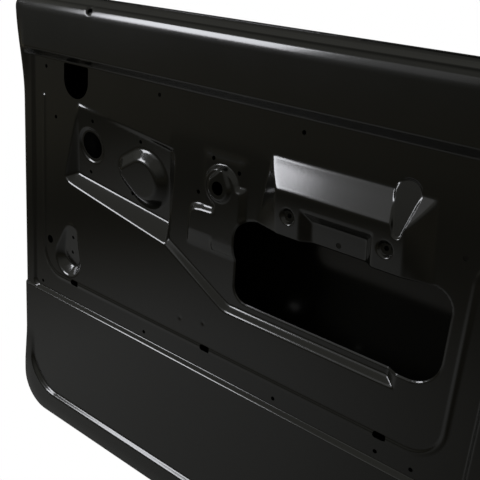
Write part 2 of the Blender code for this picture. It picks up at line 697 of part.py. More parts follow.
def face_lines():
    """Fold lines of the pressings, kept as edges of the mesh."""
    left, right = LATCH_SIDE + EDGE_BEND, HINGE_SIDE - EDGE_BEND
    lines = [[(left, z), (right, z)] for z in (RAIL_FOOT_Z, RAIL_FOOT_Z + RAIL_WALL)]
    for past in (0, TRIM_WALL):
        radius = TRIM_CORNER + past
        lines.append([(left, TRIM_FOOT_Z - past)]
                     + arc(TRIM_HINGE_X - TRIM_CORNER, TRIM_FOOT_Z + TRIM_CORNER, radius, 270, 360, 5)
                     + [(TRIM_HINGE_X + past, RAIL_FOOT_Z)])
    for past in (0, LIP_WALL):
        radius = LIP_CORNER + past
        lines.append([(LIP_LATCH_X - past, LIP_FADE_Z)]
                     + arc(LIP_LATCH_X + LIP_CORNER, LIP_Z + LIP_CORNER, radius, 180, 270, 6)
                     + [(HINGE_SIDE - EDGE_BEND * 2, LIP_Z - past)])
    lines += [bead_path(-BEAD_HALF), bead_path(), bead_path(BEAD_HALF)]
    lines.append([(LATCH_EDGE_X, LATCH_EDGE_Z + 0.03), (LATCH_EDGE_X, RAIL_FOOT_Z)])
    for pressing in pressings():
        lines += pressing.lines()
    return lines


def inner_panel():
    border = ring_plan(-EDGE_BEND)
    plan, faces = triangulate(border, face_holes(), face_lines(), GRID)
    y = face_y(plan[:, 0], plan[:, 1])
    near = [(px, py, pz) for (px, pz), py in zip(plan, y)]
    far = [(px, py + PANEL_T, pz) for px, py, pz in near]
    starts = dict(zip(ring_plan(0.0), y))
    rings = [section_rings(lambda x, z, belt: wall_section(x, z, belt, starts[x, z], thickness))
             for thickness in (0.0, PANEL_T)]
    add_ring_strips(near, far, faces, rings[0], rings[1], list(range(len(border))))
    panel = add_object("inner_panel", *close_sheet(near, far, faces))
    cut(panel, "side_wall_cuts", side_wall_cutters())
    return panel


def skin_section(x, z, belt, inner):
    """Edge of the skin: the hem folded back over the flange, or the lip over the belt."""
    y = skin_y(x, z)
    inset = SKIN_T if inner else 0.0
    fold = HEM_FOLD - inset
    middle = HEM - HEM_FOLD
    side = [(0.0, y - inset)]
    side += [(middle + fold * math.sin(math.radians(a)), y - HEM_FOLD + fold * math.cos(math.radians(a)))
             for a in (0, 45, 90, 135, 180)]
    side.append((HEM_LIP, y - HEM_FOLD - fold))
    crest = SKIN_T + GAP - HEM_FOLD
    top = [(-HEM_FOLD * 4, y - inset)]
    top += [(crest + fold * math.sin(math.radians(a)), y - HEM_FOLD + fold * math.cos(math.radians(a)))
            for a in (0, 45, 90)]
    top += [(crest + fold, y - HEM_FOLD - BELT_LIP * share) for share in (1 / 3, 2 / 3, 1)]
    return [(s[0] + (t[0] - s[0]) * belt, s[1] + (t[1] - s[1]) * belt) for s, t in zip(side, top)]


def handle_openings(margin=0.0):
    x, z, width, height = HANDLE
    opening = rounded_box(x - width / 2 - margin, x + width / 2 + margin, z - height / 2 - margin,
                          z + height / 2 + margin, (HANDLE_CORNER + margin,) * 4, 3)
    return [opening, circle(LOCK[0], LOCK[1], LOCK[2] + margin, 16)]


def outer_skin():
    border = ring_plan(-SKIN_MARGIN)
    plan, faces = triangulate(border, handle_openings(), [], 0.060)
    y = skin_y(plan[:, 0], plan[:, 1])
    near = [(px, py, pz) for (px, pz), py in zip(plan, y)]
    far = [(px, py - SKIN_T, pz) for px, py, pz in near]
    rings = [section_rings(lambda x, z, belt: skin_section(x, z, belt, inner))
             for inner in (False, True)]
    add_ring_strips(near, far, faces, rings[0], rings[1], list(range(len(border))))
    return add_object("outer_skin", *close_sheet(near, far, faces))


def plate(name, outline, holes, axis, start, end):
    """A flat plate: outline and holes in the plane across axis, from start to end along it."""
    plan, faces = triangulate(list(outline), holes, [], 0)
    orders = {"X": lambda p, q, d: (d, p, q), "Y": lambda p, q, d: (p, d, q), "Z": lambda p, q, d: (p, q, d)}
    order = orders[axis]
    near = [order(p, q, start) for p, q in plan]
    far = [order(p, q, end) for p, q in plan]
    return add_object(name, *close_sheet(near, far, faces))


def box_outline(x, z, width, height, corner=0.0):
    if not corner:
        return [(x - width / 2, z - height / 2), (x + width / 2, z - height / 2),
                (x + width / 2, z + height / 2), (x - width / 2, z + height / 2)]
    return rounded_box(x - width / 2, x + width / 2, z - height / 2, z + height / 2, (corner,) * 4, 3)


def hinge_hardware(label, z):
    """Reinforcement, tapping plate and cage behind one hinge."""
    face = HINGE_SIDE - PANEL_T - GAP
    bolts = [circle(y, bz, HINGE_HOLE, 12) for y, bz in hinge_bolts(z)]
    plate(label + "_hinge_reinforcement", box_outline(HINGE_Y, z, *HINGE_PLATE, 0.008), bolts, "X",
          face, face - PLATE_T)
    width, height, thickness = TAPPING_PLATE
    front = face - PLATE_T - GAP
    tapped = [circle(y, bz, TAPPED_HOLE, 12) for y, bz in hinge_bolts(z)]
    plate(label + "_tapping_plate", box_outline(HINGE_Y, z, width, height), tapped, "X",
          front, front - thickness)
    inside, back = width / 2 + CAGE_PLAY, front - thickness - CAGE_PLAY
    outside, outer_back = inside + CAGE_T, back - CAGE_T
    half, foot = outside + CAGE_FOOT, front - CAGE_T
    section = [(front, -half), (front, -inside), (back, -inside), (back, inside), (front, inside),
               (front, half), (foot, half), (foot, outside), (outer_back, outside),
               (outer_back, -outside), (foot, -outside), (foot, -half)]
    length = HINGE_PITCH - 4 * HINGE_HOLE
    plate(label + "_plate_cage", [(x, HINGE_Y + y) for x, y in section], [], "Z",
          z - length / 2, z + length / 2)


def check_strap_reinforcement():
    face = HINGE_SIDE - PANEL_T - GAP
    slot = box_outline(HINGE_Y, CHECK_Z, *CHECK_SLOT)
    screws = [circle(y, z, CHECK_SCREW_HOLE, 12) for y, z in check_screws()]
    plate("check_strap_reinforcement", box_outline(HINGE_Y, CHECK_Z, *CHECK_PLATE, 0.008),
          [slot] + screws, "X", face, face - PLATE_T)


def latch_reinforcement():
    face = LATCH_SIDE + PANEL_T + GAP
    y0, y1, z0, z1 = LATCH_CUT
    middle_y, middle_z = (y0 + y1) / 2, (z0 + z1) / 2
    screws = [circle(y, z, LATCH_SCREW_HOLE, 12) for y, z in LATCH_SCREWS]
    plate("latch_reinforcement", box_outline(middle_y, middle_z, *LATCH_PLATE, 0.008),
          [box_outline(middle_y, middle_z, y1 - y0, z1 - z0)] + screws, "X", face + PLATE_T, face)


def inner_belt_rail():
    """Folded rail under the belt, with a web beside the glass slot."""
    top = BELT - PANEL_T - GAP
    web = GLASS_SLOT[2] - GAP
    t = RAIL_T
    section = [(web, top), (web - BELT_RAIL_DEPTH, top), (web - BELT_RAIL_DEPTH, top - t), (web - t, top - t),
               (web - t, top - BELT_RAIL_DROP),
               (web - t - BELT_RAIL_FOOT, top - BELT_RAIL_DROP - BELT_RAIL_FOOT),
               (web - BELT_RAIL_FOOT, top - BELT_RAIL_DROP - BELT_RAIL_FOOT), (web, top - BELT_RAIL_DROP)]
    plate("inner_belt_rail", section, [], "X", *BELT_RAIL)


def outer_belt_rail():
    """Hat-section rail inside the skin, curved with it."""
    t, top = RAIL_T, OUTER_RAIL_TOP
    foot, crown, depth = OUTER_RAIL_FOOT, OUTER_RAIL_CROWN, OUTER_RAIL_DEPTH
    drops = (0, foot, foot + depth / 2, foot + depth / 2 + crown, foot + depth + crown,
             2 * foot + depth + crown)
    depths = (0, 0, depth, depth, 0, 0)
    count = 12
    near, far, faces = [], [], []
    for i in range(count + 1):
        x = BELT_RAIL[0] + (BELT_RAIL[1] - BELT_RAIL[0]) * i / count
        for drop, inward in zip(drops, depths):
            y = skin_y(x, top - drop) - SKIN_T - GAP - inward
            near.append((x, y - t, top - drop))
            far.append((x, y, top - drop))
    size = len(drops)
    for i in range(count):
        for j in range(size - 1):
            a = i * size + j
            faces.append([a, a + 1, a + size + 1, a + size])
    add_object("outer_belt_rail", *close_sheet(near, far, faces))


def handle_reinforcement():
    """Plate inside the skin round the handle and lock openings."""
    x, z, width, height = HANDLE
    margin = HANDLE_PLATE_MARGIN
    right = LOCK[0] + LOCK[2] + margin
    outline = rounded_box(x - width / 2 - margin, right, z - height / 2 - margin, z + height / 2 + margin,
                          (margin / 2,) * 4, 3)
    plan, faces = triangulate(outline, handle_openings(), [], 0)
    back = skin_y(plan[:, 0], plan[:, 1]) - SKIN_T - GAP
    near = [(px, py - RAIL_T, pz) for (px, pz), py in zip(plan, back)]
    far = [(px, py, pz) for (px, pz), py in zip(plan, back)]
    add_object("handle_reinforcement", *close_sheet(near, far, faces))


def weld_nuts():
    """Nuts for the window frame's bolts, under the belt."""
    size, height, hole = WELD_NUT
    top = BELT - PANEL_T - GAP
    for number, x in enumerate(FRAME_BOLTS_X, 1):
        plate(f"frame_weld_nut_{number}", circle(x, FRAME_BOLT_Y, size / math.sqrt(3), 6),
              [circle(x, FRAME_BOLT_Y, hole, 12)], "Z", top, top - height)


def armrest_nuts():
    """Square nuts and their cages behind the armrest bulge."""
    size, thickness, hole = ARMREST_NUT
    front = NUT_SEAT_LEVEL + PANEL_T + GAP
    for label, (x, z) in zip(("rear", "front"), NUT_SEATS):
        plate(label + "_armrest_nut", box_outline(x, z, size, size), [circle(x, z, hole, 12)], "Y",
              front, front + thickness)
        inside, back = size / 2 + CAGE_PLAY, front + thickness + CAGE_PLAY
        outside, outer_back = inside + CAGE_T, back + CAGE_T
        section = [(x - outside, front), (x - outside, outer_back), (x + outside, outer_back),
                   (x + outside, front), (x + inside, front), (x + inside, back),
                   (x - inside, back), (x - inside, front)]
        plate(label + "_armrest_cage", section, [], "Z", z - size * 0.4, z + size * 0.4)


def main():
    for old in list(bpy.data.objects):
        bpy.data.objects.remove(old, do_unlink=True)
    inner_panel()
    outer_skin()
    inner_belt_rail()
    outer_belt_rail()
    hinge_hardware("upper", UPPER_HINGE_Z)
    hinge_hardware("lower", LOWER_HINGE_Z)
    check_strap_reinforcement()
    latch_reinforcement()
    handle_reinforcement()
    weld_nuts()
    armrest_nuts()


main()
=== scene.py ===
"""Looks of the bare car door shell: pressed steel sheets dipped in black electrocoat primer.

Metres. The pressings are laid out from the same datum on the trim face as the solid part, and DATUM moves
them into the part's frame: +X out of the hinge edge, +Y from the cabin face to the outer skin, +Z up.
"""
import json
import math

import bmesh
import bpy
import numpy as np
from mathutils import Matrix, Vector
from mathutils.geometry import delaunay_2d_cdt
from mathutils.kdtree import KDTree

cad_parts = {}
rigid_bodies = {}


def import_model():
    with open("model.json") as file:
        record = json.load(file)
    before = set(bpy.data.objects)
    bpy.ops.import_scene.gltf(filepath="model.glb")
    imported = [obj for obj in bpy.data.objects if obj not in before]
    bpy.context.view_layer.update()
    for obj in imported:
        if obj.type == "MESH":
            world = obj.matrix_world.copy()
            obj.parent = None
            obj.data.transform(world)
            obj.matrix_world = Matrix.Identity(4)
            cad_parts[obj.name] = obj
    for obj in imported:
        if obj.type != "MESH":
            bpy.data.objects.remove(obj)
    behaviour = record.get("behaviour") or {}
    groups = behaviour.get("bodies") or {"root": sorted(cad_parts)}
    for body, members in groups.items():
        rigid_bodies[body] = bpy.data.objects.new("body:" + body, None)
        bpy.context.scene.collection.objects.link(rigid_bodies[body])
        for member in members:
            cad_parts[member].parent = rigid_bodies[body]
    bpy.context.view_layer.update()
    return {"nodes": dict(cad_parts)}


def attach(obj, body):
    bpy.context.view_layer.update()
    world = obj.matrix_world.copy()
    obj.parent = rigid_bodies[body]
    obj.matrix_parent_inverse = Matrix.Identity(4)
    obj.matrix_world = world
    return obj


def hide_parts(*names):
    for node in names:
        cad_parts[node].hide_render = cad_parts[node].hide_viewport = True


DATUM = Vector((-0.440, -0.045, -0.110))

# Sheets
PANEL_T = 0.0010
SKIN_T = 0.0008
SEAM_GAP = 0.0003

# Side walls of the inner panel
LATCH_SIDE = -0.454
HINGE_SIDE = 0.440
SILL = -0.440
BELT = 0.255
SILL_CORNER = 0.060
BELT_CORNER = 0.018
EDGE_BEND = 0.011
BELT_CROWN = 0.0170
BELT_CROWN_R = 0.0386
BELT_ROLL = 0.0085
FLANGE_BEND = 0.004
FLANGE = 0.0138
STATION = 0.012

# Outer skin
SKIN_MID = 0.106
CROWN_Z = 0.010
CROWN_X = 0.004
HEM = 0.016
HEM_FOLD = 0.0016
HEM_LIP = 0.005
BELT_LIP = 0.010
SKIN_MARGIN = 0.016
BELT_END_PLAY = 0.0005
HANDLE = (-0.345, 0.162, 0.110, 0.036)
HANDLE_CORNER = 0.008
LOCK = (-0.255, 0.162, 0.0095)

# Press radii, half of the plan width over which the sheet turns, and how sharply the width of the walls
# changes where two of them meet in a hip
SOFT = 0.0040
FIRM = 0.0022
CRISP = 0.0014
TRIM_FOOT_FOLD = CRISP * 0.7
HANDLE_BOSS_FOLD = 0.0034
CRANK_FOLD = 0.0030
POCKET_FOLD = CRISP * 0.8
HIP_BLEND = 12

# Belt rail, trim recess and lower panel
RAIL_FOOT_Z = 0.171
RAIL_WALL = 0.0115
RAIL_PROUD = 0.017
TRIM_HINGE_X = 0.336
TRIM_LATCH_X = -0.4235
TRIM_LATCH_CORNER = 0.010
TRIM_STRIP_PROUD = 0.0038
TRIM_FOOT_Z = -0.2062
TRIM_CORNER = 0.030
TRIM_WALL = 0.0052
TRIM_PROUD = 0.0066
LIP_LATCH_X = -0.425
LIP_Z = -0.391
LIP_CORNER = 0.060
LIP_WALL = 0.0048
LIP_PROUD = 0.006
LIP_FADE_Z = -0.300
LIP_FADE = 0.060
LIP_FADE_FOLD = 0.010
SILL_ROLL = 0.030
SILL_ROLL_DEPTH = 0.004
LATCH_EDGE_X = -0.430
LATCH_EDGE_WALL = 0.010
LATCH_EDGE_Z = 0.100
LATCH_EDGE_RISE = 0.150
LATCH_EDGE_START = 0.006

# Sealing bead
BEAD_LATCH_X = -0.402
BEAD_HINGE_X = 0.306
BEAD_Z = -0.174
BEAD_TOP_Z = 0.112
BEAD_TURN_Z = 0.046
BEAD_END_X = 0.332
BEAD_CORNER = 0.042
BEAD_HALF = 0.005
BEAD_PROUD = 0.0012

# Upper panel. Straight-sided pressings have corners and, for each side, its wall's width at both ends;
# round-ended ones have two circles (x, z, radius).
UPPER_TOP_Z = 0.110
UPPER_RUN = 0.200
UPPER_DEPTH = 0.0075
UPPER_HINGE_X = 0.238
SHOULDER_Z = -0.107
SHOULDER_START = (-0.131, -0.047)
SHOULDER_TURN_X = -0.019
SHOULDER_WALL = 0.008
UPPER_CORNERS = (SHOULDER_START, (SHOULDER_TURN_X, SHOULDER_Z), (UPPER_HINGE_X, SHOULDER_Z),
                 (UPPER_HINGE_X, UPPER_TOP_Z), (SHOULDER_START[0], UPPER_TOP_Z))
UPPER_WALLS = ((SHOULDER_WALL, SHOULDER_WALL), (SHOULDER_WALL, SHOULDER_WALL), (0.014, 0.014),
               (0.001, 0.001), (0.001, 0.001))

# Latch area
LATCH_TILT_Z = 0.0995
LATCH_TILT = 0.152
LATCH_TWIST = 0.014
LATCH_CORNERS = ((-0.351, -0.004), (-0.342, -0.011), SHOULDER_START, (-0.120, 0.078),
                 (-0.124, 0.090), (-0.322, 0.115))
LATCH_WALLS = ((0.015, 0.015), (0.0156, 0.0220), (0.014, 0.014), (0.006, 0.006),
               (0.006, 0.0035), (0.003, 0.014))
HANDLE_BOSS = (-0.184, 0.0325, 0.0425)
HANDLE_BOSS_TIP = (-0.217, 0.0345, 0.024)
HANDLE_BOSS_WALL = 0.0145
HANDLE_BOSS_TILT = 0.14
LATCH_HOLE = (-0.298, 0.056, 0.020)
LATCH_DISH = 0.027
LATCH_DISH_WALL = 0.003
LATCH_DISH_DEPTH = 0.002

# Crank mounting
CRANK = (-0.0365, 0.060)
CRANK_HOLE = 0.009
CRANK_LATCH_CORNERS = ((-0.095, -0.032), (0.003, -0.032), (0.003, 0.029), (-0.080, 0.029),
                       (-0.0905, 0.024), (-0.094, 0.012))
CRANK_HINGE_CORNERS = ((-0.050, -0.032), (0.003, -0.032), (0.003, 0.0665), (-0.050, 0.0665))
CRANK_WALLS = ((0.022, 0.022), (0.005, 0.005), (0.005, 0.005), (0.006, 0.006), (0.007, 0.007),
               (0.007, 0.007))
CRANK_PROUD = 0.007
CRANK_STEP = 0.029
CRANK_STEP_WALL = 0.005
CRANK_BOSS = 0.0195
CRANK_BOSS_TIP = (0.005, 0.022, 0.006)
CRANK_BOSS_WALL = 0.004
CRANK_BOSS_PROUD = 0.004
CRANK_FIELD_CORNERS = ((-0.072, 0.020), (0.003, 0.020), (0.003, 0.103), (-0.072, 0.103))
CRANK_FIELD_WALLS = ((0.008, 0.008),) * 4
CRANK_FIELD_PROUD = 0.0015

# Armrest bulge
ARMREST_CORNERS = ((0.014, -0.010), (0.266, -0.010), (0.250, 0.119), (0.038, 0.119))
ARMREST_WALLS = ((0.001, 0.001), (0.038, 0.022), (0.033, 0.033), (0.019, 0.048))
ARMREST_PROUD = 0.015
ARMREST_ROLL = 2.0
ARMREST_ROLL_Z = 0.085
ARMREST_ROLL_RUN = 0.060
ARMREST_RECESS_CORNERS = ((0.090, -0.010), (0.190, -0.010), (0.190, 0.0690), (0.094, 0.0690))
ARMREST_RECESS_WALLS = ((0.001, 0.001), (0.012, 0.010), (0.014, 0.014), (0.010, 0.018))
ARMREST_RECESS_LEVEL = -0.0055
NUT_SEATS = ((0.0765, 0.0555), (0.206, 0.0555))
NUT_SEAT_R = 0.0102
NUT_SEAT_WALL = 0.0035
NUT_SEAT_LEVEL = -0.0095
NUT_HOLE = 0.010
NUT_HOLE_CORNER = 0.0008
POCKET_TOP = (0.2168, 0.1185, 0.0160)
POCKET_FOOT = (0.2172, 0.0768, 0.0064)
POCKET_WALL = 0.0019
POCKET_TOP_LEVEL = -0.0015
POCKET_SLOPE = 0.25
POCKET_TWIST = 0.10

# Loops of mesh points down the wall of the armrest's pocket: how far inside its rim, and their spacing
POCKET_INSETS = (-0.0012, -0.0007, -0.0002, 0.0003, 0.0008, 0.0013, 0.0018, 0.0023, 0.0028, 0.0033)
POCKET_SPACING = 0.0012

# Lower latch-side pocket
CLIP_POCKET_TOP = (-0.335, -0.090, 0.015)
CLIP_POCKET_FOOT = (-0.343, -0.136, 0.030)
CLIP_POCKET_LEVEL = 0.0015
CLIP_POCKET_SLOPE = 0.19
CLIP_POCKET_WALL = 0.004
CLIP_POCKET_WALL_GROWTH = 0.17
CLIP_POCKET_WALL_GAIN = 0.010

# Holes in the face: x, z, radius for the round ones; x0, x1, z0, z1 for the two large ones
TRIM_HOLE = 0.0028
SMALL_HOLES = tuple((x, z, TRIM_HOLE) for x, z in (
    (-0.396, 0.157), (-0.155, 0.156), (0.078, 0.154), (0.304, 0.157), (-0.373, 0.085),
    (-0.290, 0.094), (-0.306, 0.013), (-0.1915, 0.0845), (-0.217, 0.0015), (-0.408, -0.197),
    (-0.165, -0.196), (0.077, -0.196), (0.229, -0.196), (0.276, -0.196), (-0.078, 0.043),
    (-0.053, 0.0945), (-0.010, 0.0845), (-0.334, -0.099), (-0.342, -0.1275), (0.290, 0.069)))
ROUND_HOLES = ((-0.388, -0.117, 0.0065), (0.143, 0.037, 0.0035), LATCH_HOLE, (*CRANK, CRANK_HOLE))
CLIP_SLOTS = ((-0.326, BEAD_Z), (-0.045, BEAD_Z), (0.231, BEAD_Z))
CLIP_SLOT = (0.017, 0.009)
CLIP_SLOT_CORNER = CLIP_SLOT[1] / 2 * 0.7
GRIP_HOLE = (-0.354, -0.300, 0.120, 0.1685)
GRIP_HOLE_CORNERS = (0.0265, 0.0265, 0.003, 0.003)
ACCESS = (-0.009, 0.287, -0.088, 0.028)
ACCESS_CORNERS = (0.022, 0.036, 0.024, 0.028)
ACCESS_ROLL = 0.003
ACCESS_ROLL_DEPTH = 0.0015

# Two shallow round marks, as spot welds leave
SPOT_MARKS = ((-0.095, -0.1455), (-0.052, -0.1373))
SPOT_R = 0.006
SPOT_DEPTH = 0.0007

# Openings in the side walls
GLASS_SLOT = (LATCH_SIDE + 0.029, HINGE_SIDE - 0.030, 0.048, 0.080)
FRAME_BOLTS_X = (LATCH_SIDE + 0.026, LATCH_SIDE + 0.060, HINGE_SIDE - 0.062, HINGE_SIDE - 0.028)
FRAME_BOLT_Y = 0.024
FRAME_BOLT_HOLE = 0.0045
KNOB_X = -0.281
KNOB_TILT = math.radians(22.5)
KNOB_HOLE = 0.0044
KNOB_DISH = 0.0068
KNOB_DISH_DEPTH = 0.0015
KNOB_DISH_WALL = 0.0022
KNOB_DISH_FOLD = 0.0008
SLOT_LIP = 0.0030
SLOT_LIP_START = 0.030
SLOT_LIP_RUN = 0.020
LATCH_CUT = (0.026, 0.056, 0.030, 0.072)
LATCH_SCREWS = ((0.020, 0.084), (0.062, 0.084), (0.041, 0.016))
LATCH_SCREW_HOLE = 0.0035
UPPER_HINGE_Z = 0.110
LOWER_HINGE_Z = -0.250
HINGE_Y = 0.045
HINGE_PITCH = 0.060
HINGE_HOLE = 0.0055
CHECK_Z = -0.070
CHECK_SLOT = (0.016, 0.036)
CHECK_SCREW_PITCH = 0.060
CHECK_SCREW_HOLE = 0.0035
DRAINS_X = (-0.300, 0.0, 0.300)
DRAIN = (0.024, 0.008)

# Mesh: width of the finest cells, how many times they are doubled for the widest, the turn of the sheet
# in radians above which a cell is halved, and the angle above which an edge is drawn sharp
FINE = 0.00075
LEVELS = 5
TURN = 0.22
SHARP = math.radians(40)
SLOPE_STEP = 0.0002
SAME_POINT = 2e-6
BEND_STEPS = 16
CROWN_STEPS = 4
SLOT_LIP_SHARES = (0, 0.25, 0.5, 0.75, 1)
FLANGE_STEPS = 5
HEM_STEPS = 8
PLAIN_END_STEP = 0.002
SILL_CORNER_STEPS = 16
BELT_CORNER_STEPS = 12
CUTTER_STEPS = 32

# Stretches of the side walls with closer points: low, high, spacing
RAIL_FOLDS = (RAIL_FOOT_Z - 0.004, RAIL_FOOT_Z + RAIL_WALL + 0.004, 0.0012)
TRIM_FOLDS = (TRIM_FOOT_Z - TRIM_WALL - 0.004, TRIM_FOOT_Z + 0.004, 0.001)
KNOB_FOLDS = (KNOB_X - KNOB_DISH - 0.001, KNOB_X + KNOB_DISH + 0.001, 0.0007)

# Photograph's viewpoint, from the datum
VIEW_FROM = Vector((0.5507, -0.6991, 0.3324))
VIEW_RIGHT = Vector((0.76294, 0.64099, 0.08402))
VIEW_UP = Vector((-0.28610, 0.21824, 0.93302))
VIEW_LENS = 56.53

# Finishes: colours, and the waves of the primer in metres
PRIMER_BLACK = "#0E0E0C"
PEEL_WAVE = 0.003
DRIFT_WAVE = 0.12
PAPER_WHITE = "#FFFFFF"
ROOM_TINT = "#FFFFF4"

# Floor, as the primer mirrors it and as it throws light back, with its tones painted light: a grey painted
# pool of light in front of the door, a darker ring of painted shade round it and a lighter, warmer far
# floor painted brighter than the lamps leave it, with the distances from the pool over which one runs into
# the next
FLOOR_PAINTED_POOL_GREY = "#ABABA9"
FLOOR_PAINTED_SHADE_TONE = "#6A665C"
FLOOR_FAR_PAINTED_LIGHT = "#BDB6A6"
FLOOR_POOL_MIDDLE = Vector((-0.6, -0.5, 0.0))
FLOOR_SHADE_RING_DISTANCES = (0.4, 1.3)
FLOOR_BEYOND = (1.5, 3.2)
FLOOR_REACH = 6.0
FLOOR_DROP = 0.30

# Lamps, very slightly blue
LAMP_TINT = (0.94, 0.95, 1.0)

DOOR = (LATCH_SIDE, HINGE_SIDE, SILL, BELT)
MID_X = (LATCH_SIDE + HINGE_SIDE) / 2
MID_Z = (SILL + BELT) / 2
HALF_X = (HINGE_SIDE - LATCH_SIDE) / 2
HALF_Z = (BELT - SILL) / 2


def linear(hex_colour):
    """sRGB hex to linear RGBA."""
    parts = [int(hex_colour[i:i + 2], 16) / 255 for i in (1, 3, 5)]
    return [p / 12.92 if p <= 0.04045 else ((p + 0.055) / 1.055) ** 2.4 for p in parts] + [1.0]


def add_node(tree, kind, inputs=(), **settings):
    """A shader node with its settings; inputs pairs a socket with a value or another node's socket."""
    node = tree.nodes.new(kind)
    for key, value in settings.items():
        setattr(node, key, value)
    for socket, value in dict(inputs).items():
        if isinstance(value, bpy.types.NodeSocket):
            tree.links.new(value, node.inputs[socket])
        else:
            node.inputs[socket].default_value = value
    return node


# Heights of the pressed sheets

def rise(distance, radius):
    """The larger of a distance and 0, rounded over radius on both sides of 0."""
    rounded = (distance + radius) ** 2 / (4 * radius)
    return np.where(distance > radius, distance, np.where(distance > -radius, rounded, 0.0))


def ramp(distance, width, radius):
    """0 before a line, 1 from width past it, with both folds rounded."""
    return (rise(distance, radius) - rise(distance - width, radius)) / width


def skin_y(x, z):
    """Outside of the skin: a barrel from sill to belt, slightly bowed from latch to hinge."""
    return SKIN_MID - CROWN_Z * ((z - MID_Z) / HALF_Z) ** 2 - CROWN_X * ((x - MID_X) / HALF_X) ** 2


def arc(cx, cz, radius, start, end, steps):
    """Points along an arc, both ends included. The angles are in degrees."""
    angles = [math.radians(start + (end - start) * i / steps) for i in range(steps + 1)]
    return [(cx + radius * math.cos(a), cz + radius * math.sin(a)) for a in angles]


def circle(cx, cz, radius, steps):
    return arc(cx, cz, radius, 0, 360 * (1 - 1 / steps), steps - 1)


def rounded_box(x0, x1, z0, z1, radii, steps):
    """Anticlockwise; radii for lower left, lower right, upper right, upper left."""
    corners = ((x0, z0, 1, 1, 180), (x1, z0, -1, 1, 270), (x1, z1, -1, -1, 0), (x0, z1, 1, -1, 90))
    points = []
    for (cx, cz, sx, sz, start), radius in zip(corners, radii):
        points += arc(cx + sx * radius, cz + sz * radius, radius, start, start + 90, steps)
    return points


def centred_box(x, z, width, height, corner, steps):
    return rounded_box(x - width / 2, x + width / 2, z - height / 2, z + height / 2, (corner,) * 4, steps)


def distance_to_lines(x, z, lines):
    """Distance of plan points from the nearest of some open lines."""
    best = np.full(x.shape, np.inf)
    for line in lines:
        for (ax, az), (bx, bz) in zip(line[:-1], line[1:]):
            length2 = (bx - ax) ** 2 + (bz - az) ** 2
            along = np.clip(((x - ax) * (bx - ax) + (z - az) * (bz - az)) / length2, 0, 1)
            best = np.minimum(best, np.hypot(x - ax - along * (bx - ax), z - az - along * (bz - az)))
    return best


def inside_loop(x, z, loop):
    """Whether plan points lie inside a closed loop."""
    result = np.zeros(x.shape, dtype=bool)
    for (ax, az), (bx, bz) in zip(loop, loop[1:] + loop[:1]):
        if az == bz:
            continue
        crosses = (az > z) != (bz > z)
        result ^= crosses & (x < ax + (z - az) / (bz - az) * (bx - ax))
    return result


def straight_share(x, z, corners, walls, radius):
    """How far a point is down the walls of a straight-sided pressing: 0 outside, 1 past every wall.
    Neighbouring walls meet in rounded hips."""
    reached, width = None, None
    for (ax, az), (bx, bz), (start, end) in zip(corners, corners[1:] + corners[:1], walls):
        length = math.hypot(bx - ax, bz - az)
        along = ((x - ax) * (bx - ax) + (z - az) * (bz - az)) / length ** 2
        depth = ((z - az) * (bx - ax) - (x - ax) * (bz - az)) / length
        wall = start + (end - start) * np.clip(along, 0, 1)
        if reached is None:
            reached, width = depth / wall, wall
            continue
        apart = depth / wall - reached
        nearer = 1 / (1 + np.exp(np.clip(apart * HIP_BLEND, -60, 60)))
        width = width + nearer * (wall - width)
        hip = radius / width
        reached = (depth / wall + reached - np.sqrt(apart ** 2 + hip ** 2)) / 2
    return ramp(reached * width, width, radius)


def round_share(x, z, first, second, wall, radius):
    """The same for a pressing inside the hull of two circles (x, z, radius), or inside one circle."""
    ax, az, ar = first
    if second is None:
        return ramp(ar - np.hypot(x - ax, z - az), wall, radius)
    bx, bz, br = second
    span = math.hypot(bx - ax, bz - az)
    ux, uz = (bx - ax) / span, (bz - az) / span
    across = np.abs((x - ax) * uz - (z - az) * ux)
    along = (x - ax) * ux + (z - az) * uz
    lean = (ar - br) / span
    flat = math.sqrt(1 - lean ** 2)
    side = along * flat - across * lean
    distance = np.where(side < 0, np.hypot(across, along) - ar,
                        np.where(side > flat * span, np.hypot(across, along - span) - br,
                                 across * flat + along * lean - ar))
    return ramp(-distance, wall, radius)


def beyond_corner(x, z, edge_x, edge_z, radius, side):
    """How far a point lies past an L of two edges with a rounded corner, its upright on the hinge side
    (1) or the latch side (-1)."""
    across, below = (x - edge_x) * side + radius, edge_z + radius - z
    return np.hypot(np.clip(across, 0, None), np.clip(below, 0, None)) - radius


def bead_path():
    """Middle line of the sealing bead: down the latch side, along the foot, up the hinge side, out."""
    left, right, foot, radius = BEAD_LATCH_X, BEAD_HINGE_X, BEAD_Z, BEAD_CORNER
    turn = BEAD_END_X - BEAD_HINGE_X
    return ([(left, BEAD_TOP_Z)] + arc(left + radius, foot + radius, radius, 180, 270, 16)
            + arc(right - radius, foot + radius, radius, 270, 360, 16)
            + arc(right + turn, BEAD_TURN_Z, turn, 180, 90, 12))


def beyond_access(x, z):
    """Distance out from the edge of the access hole, where the sheet is rolled in."""
    x0, x1, z0, z1 = ACCESS
    lower_left, lower_right, upper_right, upper_left = ACCESS_CORNERS
    left, low = x < (x0 + x1) / 2, z < (z0 + z1) / 2
    radius = np.where(low, np.where(left, lower_left, lower_right), np.where(left, upper_left, upper_right))
    across = np.abs(x - (x0 + x1) / 2) - (x1 - x0) / 2 + radius
    above = np.abs(z - (z0 + z1) / 2) - (z1 - z0) / 2 + radius
    return (np.hypot(np.clip(across, 0, None), np.clip(above, 0, None))
            + np.clip(np.maximum(across, above), None, 0) - radius)


def knob_place():
    """Middle of the lock knob's hole, on the roll at the belt."""
    first = math.atan((BELT_CROWN - BELT_ROLL) / BELT_CROWN_R)
    radius = BELT_ROLL / (1 - math.sin(first))
    y = -RAIL_PROUD + (BELT_CROWN - BELT_ROLL) ** 2 / (2 * BELT_CROWN_R)
    return (KNOB_X, y + radius * (math.cos(first) - math.cos(KNOB_TILT)),
            BELT - BELT_ROLL + radius * (math.sin(KNOB_TILT) - math.sin(first)))


